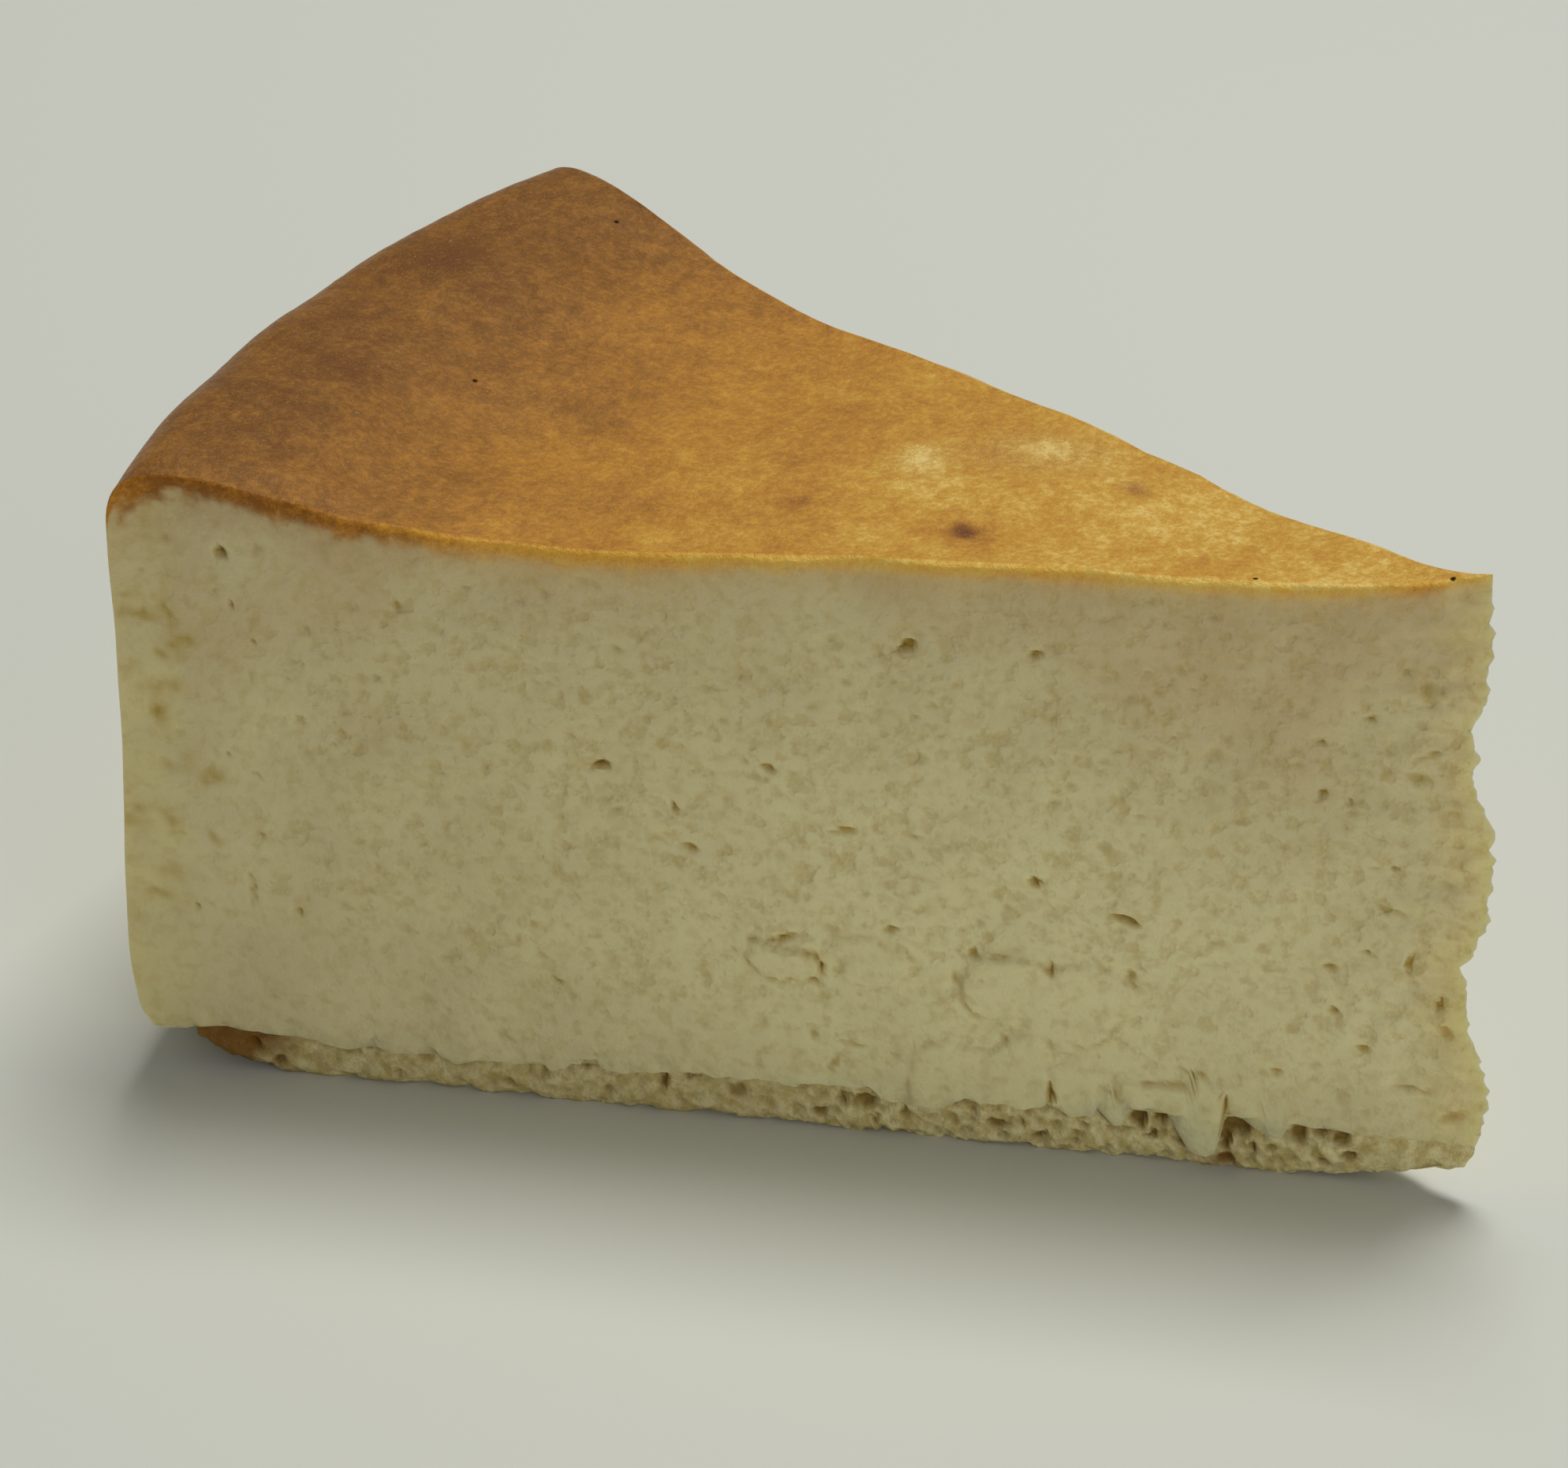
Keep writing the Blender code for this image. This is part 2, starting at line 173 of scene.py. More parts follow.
# Raised sheets of smeared filling: height, width of the edge, corners as along and height
RAISED_SHEETS = (
    (0.55, 0.13, ((60.1, 18.6), (58.9, 18.4), (57.2, 18.0), (55.6, 17.8), (54.7, 17.6), (54.4, 16.8),
                  (54.6, 15.8), (55.2, 15.2), (56.6, 15.0), (58.2, 14.9), (59.5, 15.3), (60.2, 16.4))),
    (0.40, 0.15, ((41.5, 18.0), (40.6, 18.8), (38.5, 19.2), (36.0, 19.3), (34.6, 18.4), (33.8, 18.8),
                  (31.0, 19.6), (28.2, 18.0), (26.9, 16.7), (27.8, 15.3), (29.0, 13.6), (30.3, 11.9),
                  (32.0, 11.1), (34.0, 10.4), (34.6, 11.7), (36.5, 12.2), (38.8, 12.8), (40.5, 13.2),
                  (42.0, 15.0))),
    (0.32, 0.15, ((46.5, 3.0), (46.0, 9.3), (43.5, 10.4), (39.6, 9.4), (37.8, 11.3), (36.4, 11.8),
                  (34.9, 11.2), (34.3, 10.0), (35.0, 8.9), (34.7, 7.5), (34.5, 3.0))),
    (0.50, 0.20, ((28.6, 8.2), (26.0, 8.0), (24.0, 8.0), (22.0, 8.3), (20.5, 8.0), (19.8, 7.2),
                  (19.9, 5.0), (20.0, 0.5), (22.4, 0.5), (22.6, 4.0), (24.5, 5.6), (27.6, 5.6),
                  (28.7, 6.6))),
    (0.24, 0.22, ((34.1, 8.4), (30.9, 8.6), (30.3, 6.0), (30.5, 2.0), (33.5, 2.0), (34.2, 5.0))),
    (0.22, 0.16, ((53.0, 19.4), (50.0, 19.8), (46.7, 18.6), (46.3, 17.2), (47.5, 16.0), (49.4, 15.1),
                  (52.0, 15.4))),
    (0.16, 0.25, ((16.5, 7.8), (14.3, 7.4), (14.2, 3.0), (16.6, 3.0))))
# Crumbs and folds of the torn tip that stand proud: along, height, half length, half width, turn, rise
TIP_LUMPS = ((5.3, 49.8, 0.5, 1.4, 0, 0.35), (1.1, 33.0, 0.7, 1.1, 0, 0.45), (2.3, 17.1, 0.6, 0.5, 0, 0.6),
             (1.2, 52.3, 0.8, 0.5, 0, 0.3), (3.4, 44.2, 1.6, 0.5, 10, 0.3), (6.0, 20.6, 1.4, 0.6, -20, 0.2),
             (1.6, 12.6, 1.0, 0.8, 0, 0.4), (2.8, 25.6, 1.8, 0.9, 12, 0.25))
# Shape of the filling's lower edge: along, half width, rise of lobes (down) and bays (up)
EDGE_BAYS = ((31.8, 1.4, -0.9), (34.5, 0.4, 0.4), (30.1, 0.45, 0.7), (28.6, 0.7, -1.6), (26.0, 1.7, 0.5),
             (21.2, 1.35, -3.6), (18.0, 1.4, 0.4), (15.4, 0.9, -1.6), (12.0, 2.2, 0.2), (46.0, 3.2, -1.1),
             (41.4, 0.5, 0.3), (49.7, 0.7, 0.3), (56.8, 0.8, -0.5), (66.0, 1.0, 0.3), (71.5, 1.9, -0.4),
             (74.3, 0.7, 0.8), (77.2, 0.9, -0.5), (86.0, 0.5, -0.4), (88.5, 1.0, 0.9), (93.8, 0.6, 1.1),
             (96.6, 1.6, -0.4), (108.0, 1.2, 0.3))
# Cavities of the sponge: along, height, half length, half width, turn in degrees, depth
SPONGE_HOLLOWS = (
    (27.0, 4.3, 0.7, 1.0, -20, 1.3), (25.0, 4.5, 0.8, 0.7, 0, 1.2), (23.0, 4.0, 0.6, 0.5, 20, 1.0),
    (25.7, 2.7, 0.7, 0.35, -20, 0.9), (23.0, 2.5, 0.7, 0.5, 0, 0.9), (18.6, 4.3, 1.6, 1.0, 0, 1.5),
    (19.5, 2.9, 0.6, 1.0, 0, 1.1), (17.2, 2.4, 0.4, 0.8, 0, 0.9), (19.5, 1.0, 0.8, 0.8, 0, 0.9),
    (15.6, 2.7, 0.5, 0.4, 0, 0.7), (13.4, 4.3, 0.9, 0.9, 0, 1.1), (11.6, 4.7, 0.9, 0.4, 0, 0.9),
    (9.9, 4.3, 0.8, 0.9, 0, 1.0), (9.2, 2.6, 0.7, 0.5, 0, 0.8), (11.2, 1.7, 0.9, 0.35, 10, 0.7),
    (35.3, 1.6, 0.9, 0.4, 0, 0.9), (31.5, 3.0, 0.5, 0.35, 0, 0.6), (37.0, 2.6, 0.4, 0.3, 0, 0.6),
    (39.0, 2.3, 1.0, 0.6, 10, 0.8), (41.0, 3.4, 0.5, 0.4, 0, 0.6), (47.0, 2.5, 0.3, 0.7, 0, 0.7),
    (49.3, 1.6, 0.3, 0.7, 0, 0.7), (50.2, 3.3, 1.1, 0.7, 0, 0.9), (52.3, 3.2, 0.4, 0.8, 0, 0.7),
    (54.3, 1.8, 0.8, 0.5, 0, 0.8), (61.6, 3.0, 1.2, 0.8, 0, 0.6), (65.4, 3.9, 0.8, 0.4, -15, 0.8),
    (67.9, 3.1, 0.4, 0.9, 0, 0.9), (72.8, 1.6, 0.4, 0.7, 0, 0.6), (74.7, 3.9, 0.9, 0.4, 0, 0.8),
    (78.4, 3.0, 0.4, 0.8, 0, 0.5), (81.5, 1.6, 1.0, 0.3, 15, 0.5), (86.0, 3.3, 0.3, 0.6, -30, 0.7),
    (88.6, 3.9, 0.9, 0.5, 0, 0.9), (91.3, 1.4, 0.3, 0.5, -20, 0.6), (95.6, 3.3, 0.9, 0.3, 0, 0.6),
    (94.0, 4.0, 0.4, 0.7, -20, 0.8), (102.0, 1.4, 0.7, 0.4, -35, 0.8), (104.2, 3.0, 0.6, 0.8, 0, 0.9),
    (103.0, 4.0, 1.0, 0.35, 0, 0.7), (107.0, 3.6, 0.7, 0.4, 0, 0.5), (29.9, 4.6, 0.35, 0.7, 0, 1.0))

# How the surfaces are divided
FRONT_STEP = 0.345 * MM
FRONT_ROWS = 146
BACK_STEP = 0.86 * MM
BACK_ROWS = 84
SHOULDER_STEPS = 18
BACK_SHOULDER_STEPS = 8
WALL_STEPS = 60
TOP_STEP = 0.52 * MM
ROUND_STEPS = 5
SPONGE_STEP = 0.29 * MM
SPONGE_BACK_STEP = 0.7 * MM
SPONGE_ROWS = 20
SPONGE_SHOULDER_STEPS = 14
SPONGE_BACK_SHOULDER_STEPS = 8
SPONGE_WALL_STEPS = 70
# Rings that close an underside or the sponge's top: size against the outline, and number of points
FILLING_RINGS = ((0.985, 330), (0.95, 200), (0.7, 90), (0.35, 30))
SPONGE_RINGS = ((0.982, 420), (0.93, 220), (0.7, 90), (0.35, 30))

# Points that lie this close are one point
JOIN_WITHIN = 1e-8
# Noise is worked out far from the grid's origin, so that no cell's number is negative, and
# brought up to a height of about 1
GRID_SHIFT = 4096
NOISE_GAIN = 1.7

# Seeded small hollows of a cut: how many, smallest and largest half length in millimetres
FINE_HOLLOWS = (900, 0.30, 0.85)
COARSE_HOLLOWS = (300, 0.6, 1.1)
HOLLOW_PLACES = (1.5, 112)
HOLLOW_HEIGHTS = (5.5, 55)
HOLLOW_DEPTH = 0.30
# The filling's lower edge lies this far above the sponge's top, and the back cut's bays are
# counted from this distance in millimetres back towards the tip
EDGE_RISE = 0.15 * MM
BACK_BAY_START = 118
# How far the front crest's sag reaches across the top
SAG_REACH = 2.4 * MM
# Fine relief: the tip's ragged edge, the lip along the crest, and the outer wall's upright creases
TIP_RAGGEDNESS = 0.48 * MM
CREST_LIP = 0.13 * MM
CREASE_HEIGHT = 0.13 * MM
# How far the edges of marks wander
MARK_WOBBLE = 0.8 * MM
# How far the sponge reaches up into the filling: at its cuts, at its outer end, and between them
CUT_OVERLAP = 1.6 * MM
END_OVERLAP = 1.0 * MM
MIDDLE_OVERLAP = 1.2 * MM
# Edges that turn by more than this stay sharp
FILLING_SHARP = math.radians(60)
SPONGE_SHARP = math.radians(75)

# Grain of the materials, in metres: size of the largest grains, and height of the finest relief
GRAIN_SIZE = 0.00055
CURD_SIZE = 0.0012
TEAR_SIZE = 0.0014
FLECK_SIZE = 0.0012
CRUMB_SIZE = 0.0006
SKIN_BUMP = 0.00028
CRUMB_BUMP = 0.0003

# The studio
FLOOR_RADIUS = 4.0
SKY_STRENGTH = 0.20
SKY_COLOUR = (1.0, 1.0, 0.97)
LIGHT_AIM = (0, 0, 0.03)
# Lights: place and size in metres, power in watts, colour
KEY_LIGHT = ((-0.02, 0.26, 0.95), (0.44, 0.38), 5.9, (1.0, 0.99, 0.95))
FILL_LIGHT = ((0.42, -0.32, 0.14), (0.26, 0.20), 0.44, SKY_COLOUR)

# The camera, worked out from the slice's outline, as seen from the tip
CAMERA_PLACE = (150.28 * MM, -385.28 * MM, 283.89 * MM)
CAMERA_HEADING = math.radians(-29.096)
CAMERA_PITCH = math.radians(30.210)
CAMERA_ROLL = math.radians(0.464)
PICTURE_WIDTH = 1988
FOCAL_PIXELS = 7500.0
SENSOR_WIDTH = 36.0


def curve_through(points, at):
    """Smooth curve through an outline's points: a cubic between each two, with shared slopes."""
    places, values = (np.array(points, float) * MM).T
    slopes = np.gradient(values, places)
    at = np.clip(at, places[0], places[-1])
    left = np.clip(np.searchsorted(places, at, side="right") - 1, 0, len(places) - 2)
    span = places[left + 1] - places[left]
    t = (at - places[left]) / span
    return ((1 + 2 * t) * (1 - t) ** 2 * values[left] + t * (1 - t) ** 2 * span * slopes[left]
            + t * t * (3 - 2 * t) * values[left + 1] - t * t * (1 - t) * span * slopes[left + 1])


def line_through(points, at):
    """Straight stretches between an outline's points."""
    places, values = (np.array(points, float) * MM).T
    return np.interp(at, places, values)


def ramp_through(points, at):
    """A plain value by distance: the points give millimetres, then the value itself."""
    places, values = np.array(points, float).T
    return np.interp(at, places * MM, values)


def ease(low, high, value):
    """0 at low, 1 at high, and a smooth S between them."""
    t = np.clip((value - low) / (high - low), 0.0, 1.0)
    return t * t * (3 - 2 * t)


def past(low, high, distance):
    """The same S for a distance, with its two ends in millimetres."""
    return ease(low * MM, high * MM, distance)


def oval(along, up, place, height, half_length, half_width):
    """0 in the middle of an oval, 1 on its edge, then growing with the square of the distance."""
    return ((along / MM - place) / half_length) ** 2 + ((up / MM - height) / half_width) ** 2


def unevenness(across, up, size, seed):
    """The solids' own smooth field: sine waves turned evenly, of seeded length and phase."""
    draw = np.random.default_rng(seed)
    turn = np.arange(WAVES) * math.pi / WAVES
    wave = 2 * math.pi / (size * draw.uniform(0.6, 1.7, WAVES))
    phase = draw.uniform(0, 2 * math.pi, WAVES)
    total = 0.0
    for angle, length, start in zip(turn, wave, phase):
        total = total + np.sin((across * math.cos(angle) + up * math.sin(angle)) * length + start)
    return total / math.sqrt(WAVES)


def scramble(key):
    """Mix the bits of whole numbers, so that near ones give unrelated results."""
    key = (key ^ (key >> np.uint32(16))) * np.uint32(0x7FEB352D)
    key = (key ^ (key >> np.uint32(15))) * np.uint32(0x846CA68B)
    return key ^ (key >> np.uint32(16))


def cell_key(cells, seed):
    """One scrambled number for each grid cell."""
    key = np.full(cells[0].shape, seed, np.uint32)
    for cell in cells:
        key = scramble(key * np.uint32(31) + cell.astype(np.uint32))
    return key


def key_part(key, shift):
    """Ten bits of a scrambled number as a value from 0 to 1."""
    return ((key >> np.uint32(shift)) & np.uint32(1023)).astype(float) / 1023


def noise(x, y, z, size, seed):
    """Smooth noise of about -1 to 1: random slopes at a grid's corners, eased between them.

    The size of a grid cell is in millimetres, as all sizes of noise are.
    """
    places = [np.asarray(c, float) / (size * MM) + GRID_SHIFT for c in np.broadcast_arrays(x, y, z)]
    cells = [np.floor(c).astype(np.int64) for c in places]
    within = [c - cell for c, cell in zip(places, cells)]
    eased = [t * t * t * (t * (t * 6 - 15) + 10) for t in within]
    total = 0.0
    for corner in itertools.product((0, 1), repeat=3):
        key = cell_key([cell + step for cell, step in zip(cells, corner)], seed)
        rise = sum((key_part(key, 10 * axis) * 2 - 1) * (within[axis] - corner[axis])
                   for axis in range(3))
        weight = 1.0
        for blend, step in zip(eased, corner):
            weight = weight * (blend if step else 1 - blend)
        total = total + weight * rise
    return total * NOISE_GAIN


def layered(x, y, z, size, seed, layers=3):
    """Noise with finer, weaker noise added to it, each layer half the size and half the height."""
    total = 0.0
    for layer in range(layers):
        total = total + noise(x, y, z, size / 2 ** layer, seed + layer) / 2 ** layer
    return total


def cell_distance(x, y, size, seed):
    """Distance to the nearest of one random point for each square of a grid, in squares.

    The places and the size of a square are in millimetres.
    """
    places = [np.asarray(c, float) / size + GRID_SHIFT for c in np.broadcast_arrays(x, y)]
    cells = [np.floor(c).astype(np.int64) for c in places]
    nearest = np.full(places[0].shape, 9.0)
    for step in itertools.product((-1, 0, 1), repeat=2):
        near = [cell + shift for cell, shift in zip(cells, step)]
        key = cell_key(near, seed)
        gap = np.hypot(near[0] + key_part(key, 0) - places[0], near[1] + key_part(key, 10) - places[1])
        nearest = np.minimum(nearest, gap)
    return nearest


def random_hollows(count, seed, along_range, height_range, share, smallest, largest, depth):
    """Seeded small hollows on a cut, mostly lying flat: the size is drawn on an even log scale."""
    draw = np.random.default_rng(seed)
    long = smallest * (largest / smallest) ** (draw.uniform(0, 1, count) ** 1.7)
    wide = long * draw.uniform(0.35, 0.8, count)
    places = draw.uniform(*along_range, count)
    heights = draw.uniform(*height_range, count)
    turn = draw.normal(-6, 28, count)
    deep = depth * np.sqrt(long) * draw.uniform(0.5, 1.1, count)
    kept = draw.uniform(0, 1, count) < share(places, heights)
    return np.stack((places, heights, long, wide, turn, deep), axis=1)[kept]


def carve(places, along, up, hollows, floor=0.35):
    """Depth of hollows on a grid: a flat floor and an eased wall round each turned ellipse."""
    depth = np.zeros(along.shape)
    for place, height, long, wide, turn, deep in np.asarray(hollows, float):
        reach = 1.5 * max(long, wide) * MM + 0.3 * MM
        first, last = np.searchsorted(places, (place * MM - reach, place * MM + reach))
        if first == last:
            continue
        x = along[first:last] / MM - place
        z = up[first:last] / MM - height
        lean = math.radians(turn)
        lengthwise = (x * math.cos(lean) + z * math.sin(lean)) / long
        crosswise = (z * math.cos(lean) - x * math.sin(lean)) / wide
        bowl = deep * MM * (1 - ease(floor, 1.3, np.hypot(lengthwise, crosswise)))
        depth[first:last] = np.maximum(depth[first:last], bowl)
    return depth


def inside_distance(along, up, corners):
    """Distance of each grid point inside a closed outline, and minus its distance outside it."""
    corners = np.array(corners, float) * MM
    nearest = np.full(along.shape, 1.0)
    inside = np.zeros(along.shape, bool)
    for start, end in zip(corners, np.roll(corners, -1, axis=0)):
        run = end - start
        t = ((along - start[0]) * run[0] + (up - start[1]) * run[1]) / (run @ run)
        t = np.clip(t, 0, 1)
        gap = np.hypot(along - start[0] - t * run[0], up - start[1] - t * run[1])
        nearest = np.minimum(nearest, gap)
        crossing = start[0] + (up - start[1]) * run[0] / (run[1] if run[1] else 1.0)
        inside ^= ((start[1] > up) != (end[1] > up)) & (along < crossing)
    return np.where(inside, nearest, -nearest)


def mark_strength(along, inward, marks):
    """Strength from 0 to 1 of soft oval marks on the top, with wandering edges."""
    strength = np.zeros(np.broadcast(along, inward).shape)
    wobble_along = along + MARK_WOBBLE * noise(along, inward, 0.0, 2.4, 301)
    wobble_inward = inward + MARK_WOBBLE * noise(along, inward, 0.0, 2.4, 302)
    for place, inner, half_length, half_width, power in marks:
        spread = oval(wobble_along, wobble_inward, place, inner, half_length, half_width)
        strength = np.maximum(strength, power * np.exp(-0.8 * spread))
    return strength


class Slice:
    """The slice's main form, from the add-on's sizes."""

    def __init__(self, sizes):
        self.radius = sizes.cake_radius
        self.half_angle = sizes.slice_angle / 2
        self.shoulder_width = sizes.shoulder_width
        self.shoulder_drop = sizes.shoulder_drop
        self.crest_round = sizes.crest_round
        self.top_unevenness = sizes.top_unevenness
        self.cut_unevenness = sizes.cut_unevenness

    def top_height(self, along, side):
        """Height of the browned top: raised tip and rim, a sunk middle and a rounded shoulder."""
        angle = side * self.half_angle
        height = curve_through(TOP_LINE, along)
        height = height + (self.top_unevenness * np.minimum(1.0, along / (12 * MM))
                           * unevenness(along * np.cos(angle), along * np.sin(angle), TOP_WAVE, 5))
        over = np.clip((along - (self.radius - self.shoulder_width)) / self.shoulder_width, 0, 1)
        roundness = (1 - over ** SHOULDER_POWER) ** (1 / SHOULDER_POWER)
        height = height - self.shoulder_drop * (1 - roundness)
        apart = self.radius * self.half_angle * (1 + side) / SAG_REACH
        height = height - line_through(FRONT_SAG_LINE, along) * np.exp(-apart ** 2)
        return height + line_through(BACK_RISE_LINE, along) * ease(-0.4, 1.0, side)

    def tip_shift(self, up):
        """How far the ragged tip reaches past, or stops short of, the meeting of the cuts."""
        ragged = TIP_RAGGEDNESS * layered(up, 0.0, 0.0, 1.3, 81, 3)
        ragged = ragged * past(3, 6, up) * (1 - past(56, 59, up))
        return line_through(TIP_LINE, up) + ragged

    def on_cut(self, along, side, up, proud, wall=None):
        """Place on a cut face: along it, up, and proud of its plane."""
        if wall is not None:
            along = along + (wall(up) - self.radius) * (along / self.radius) ** WALL_REACH_POWER
        cosine, sine = math.cos(self.half_angle), math.sin(self.half_angle)
        x = -along * cosine + proud * sine + self.tip_shift(up) * np.exp(-along / TIP_REACH)
        y = side * (along * sine + proud * cosine)
        return x, y, up + 0.0 * along

    def round_wall(self, distance, side, up):
        """Place on the round outer wall."""
        angle = side * self.half_angle
        x = -distance * np.cos(angle) + self.tip_shift(up) * np.exp(-distance / TIP_REACH)
        return x, distance * np.sin(angle), up + 0.0 * distance

    def beside_front(self, x, y):
        """Distance along the front cut from the tip, and distance in from it."""
        cosine, sine = math.cos(self.half_angle), math.sin(self.half_angle)
        return -x * cosine - y * sine, y * cosine - x * sine

    def on_top(self, beside, inward):
        """Place on the top from the distances beside and in from the front cut."""
        cosine, sine = math.cos(self.half_angle), math.sin(self.half_angle)
        x = -beside * cosine - inward * sine
        y = inward * cosine - beside * sine
        distance = math.hypot(x, y)
        return x, y, float(self.top_height(np.array(distance), math.atan2(y, -x) / self.half_angle))

    def places(self, step, shoulder_steps, radius):
        """Even steps from the tip to the shoulder, then even turns round the shoulder."""
        start = radius - self.shoulder_width
        steps = round(start / step)
        turns = np.arange(1, shoulder_steps + 1) * (math.pi / 2 / shoulder_steps)
        return np.concatenate((np.arange(steps + 1) * start / steps,
                               start + self.shoulder_width * np.sin(turns)))


def filling_under(distance, raised=0.0):
    """Height of the filling's underside: along the sponge, then down to the lip by the outer wall."""
    over_sponge = curve_through(BASE_TOP_LINE, distance) + raised
    lip = line_through(FILLING_LIP_LINE, distance)
    fall = np.clip((distance - LIP_START) / LIP_FALL, 0, 1)
    return over_sponge * (1 - fall) + lip * fall


def tear_share(along, height):
    """How torn a cut is, 0 to 1: little by the outer wall and just under the top."""
    toward_middle = ease(112, 84, along)
    below_top = 1 - 0.7 * ease(44, 54, height) * (0.4 + 0.6 * ease(20, 60, along))
    above_base = 0.5 + 0.5 * ease(6, 22, height)
    return (0.3 + 0.7 * toward_middle) * below_top * above_base


class FillingCut:
    """Relief and finish of the filling on a cut face."""

    def __init__(self, form, side, places, fine):
        self.form = form
        self.side = side
        self.places = places
        self.seed = 11 if side < 0 else 12
        count, smallest, largest = FINE_HOLLOWS if fine else COARSE_HOLLOWS
        self.hollows = random_hollows(count, self.seed * 7, HOLLOW_PLACES, HOLLOW_HEIGHTS, tear_share,
                                      smallest, largest, HOLLOW_DEPTH)

    def under_edge(self, along):
        """The filling's even lower edge, and how far its lobes hang below and its bays rise above it."""
        ragged = 0.30 * MM * layered(along, 0.0, self.seed * MM, 2.2, 91, 3)
        for place, half_width, rise in EDGE_BAYS:
            where = place if self.side < 0 else BACK_BAY_START - place
            ragged = ragged + rise * MM * np.exp(-((along / MM - where) / half_width) ** 6)
        ragged = ragged * past(0, 4, along) * (1 - past(107.5, 110, along))
        return filling_under(along, EDGE_RISE), ragged

    def relief(self, along, up):
        """Proud height, painted shade from the depth of its hollows and from its pits, seam blotches and
        sheet edges, and tornness of the cut's surface.

        Low lumps and swellings shared with the solids, raised sheets with torn edges,
        crags by the tip, patches where noise passes a limit, and small hollows.
        """
        form = self.form
        seed = self.seed * 100
        middle = past(105, 80, along)
        torn = tear_share(along / MM, up / MM)
        torn = np.clip(torn * (1 + 0.6 * noise(along, up, 0.0, 9, seed + 1)), 0, 1)
        proud = form.cut_unevenness * unevenness(along, up, CUT_WAVE, self.seed)
        bent_along = along + 0.32 * MM * layered(along, up, 0.0, 1.1, seed + 13, 2)
        bent_up = up + 0.28 * MM * layered(along, up, 0.0, 1.1, seed + 15, 2)
        sheet_edge_shadow = 0.0
        if self.side < 0:
            for place, height, half_width, half_height, swell in FRONT_SWELLS:
                spread = oval(along, up, place, height, half_width, half_height)
                proud = proud + SWELL_SHARE * swell * MM * np.exp(-spread)
            for height, edge, corners in RAISED_SHEETS:
                reach = inside_distance(bent_along, bent_up, corners)
                on_sheet = ease(-edge * MM, edge * MM, reach)
                proud = proud + height * MM * on_sheet
                torn = torn * (1 - 0.65 * on_sheet)
                # A dark band just outside each sheet's edge, the painted shadow of the raised sheet
                sheet_edge_shadow = np.maximum(sheet_edge_shadow, 1.7 * height * np.exp(-((reach / MM + 0.22) / 0.30) ** 2))
        by_tip = np.exp(-along / (9 * MM))
        crag = layered(along, up, 0.0, 4.2, seed + 3, 3)
        folds = noise(along / 2.4, up + 0.25 * along, 0.0, 1.7, seed + 4)
        proud = proud + (0.5 * (crag - 0.25) + 0.36 * folds) * MM * by_tip
        steps = noise(along / 1.5, up, 0.0, 3.4, seed + 5)
        steps = steps + 0.4 * noise(along / 1.3, up, 0.0, 1.4, seed + 6)
        lower = 1 - past(8, 34, up)
        proud = proud + (0.02 + 0.09 * lower * middle) * MM * ease(-0.05, 0.30, steps)
        pits = noise(along / 1.5, up, 0.0, 1.1, seed + 21)
        pits = pits + 0.6 * noise(along / 1.2, up, 0.0, 0.75, seed + 22)
        pitted = ease(0.20, 1.0, pits) * torn
        proud = proud - 0.13 * MM * pitted
        proud = proud + 0.07 * MM * (0.35 + 0.65 * torn) * layered(along, up, 0.0, 1.5, seed + 8, 2)
        above_edge = up - curve_through(BASE_TOP_LINE, along)
        proud = proud + 0.35 * MM * (1 - past(0.6, 3, above_edge)) * layered(
            along, up, 0.0, 2.2, seed + 9, 2)
        depth = carve(self.places, bent_along, bent_up, self.hollows, 0.0)
        lumps = 0.0
        painted_shade = 0.0
        if self.side < 0:
            soft_along = bent_along + 0.5 * MM * noise(along, up, 0.0, 1.8, seed + 17)
            soft_up = bent_up + 0.5 * MM * noise(along, up, 0.0, 1.8, seed + 18)
            shade_blotches = [(place, height, SEAM_SHADE_SPREAD * long, SEAM_SHADE_SPREAD * wide, SEAM_SHADE_STRENGTH * power)
                      for place, height, long, wide, power in SEAM_SHADE_BLOTCHES]
            painted_shade = mark_strength(soft_along, soft_up, shade_blotches)
            painted_shade = painted_shade * (0.85 + 0.7 * layered(along, up, 0.0, 1.3, seed + 19, 2))
            # The painted shadow along the raised sheets' edges joins the seam's painted shade
            painted_shade = painted_shade + 0.8 * sheet_edge_shadow * ease(-0.35, 0.45, noise(along, up, 0.0, 1.9, seed + 23))
            depth = depth + 0.12 * MM * painted_shade
            depth = np.maximum(depth, carve(self.places, bent_along, bent_up, FRONT_HOLLOWS, 0.2))
            lumps = carve(self.places, bent_along, bent_up, TIP_LUMPS)
        depth = depth * past(0.5, 1.4, form.top_height(along, self.side) - up)
        proud = (proud + lumps) * past(0, 2.5, along) - depth * past(0.2, 1.2, along)
        # The hollow value is painted shade: darker with the depth of hollows, in torn pits, in the seam
        # blotches and along the sheet edges
        hollow = np.clip(depth / (0.5 * MM) + 0.25 * pitted + 0.85 * painted_shade, 0, 1)
        return np.maximum(proud, -0.25 * along), hollow, torn


def skin_amount(along, side, below, seed):
    """1 on the browned skin, fading to 0 a ragged millimetre or two below the crest."""
    reach = ramp_through(SKIN_DEPTH_LINE, along) * MM
    blotch = noise(along, side * 3 * MM, below, 2.4, seed)
    blotch = blotch + 0.8 * noise(along, below, 0.0, 1.0, seed + 1)
    by_rim = past(80, 96, along)
    reach = reach * (1 + (0.20 + 0.25 * by_rim) * blotch)
    soft = 0.95 - 0.45 * by_rim
    skin = 1 - ease(1 - soft, 1 + soft, below / reach)
    return np.maximum(skin, 0.22 * (1 - ease(0.5, 3.6, below / reach)))


FINISH = ("skin", "edge", "browning", "hollow", "torn", "rind", "mark", "pale", "gloss", "shade")


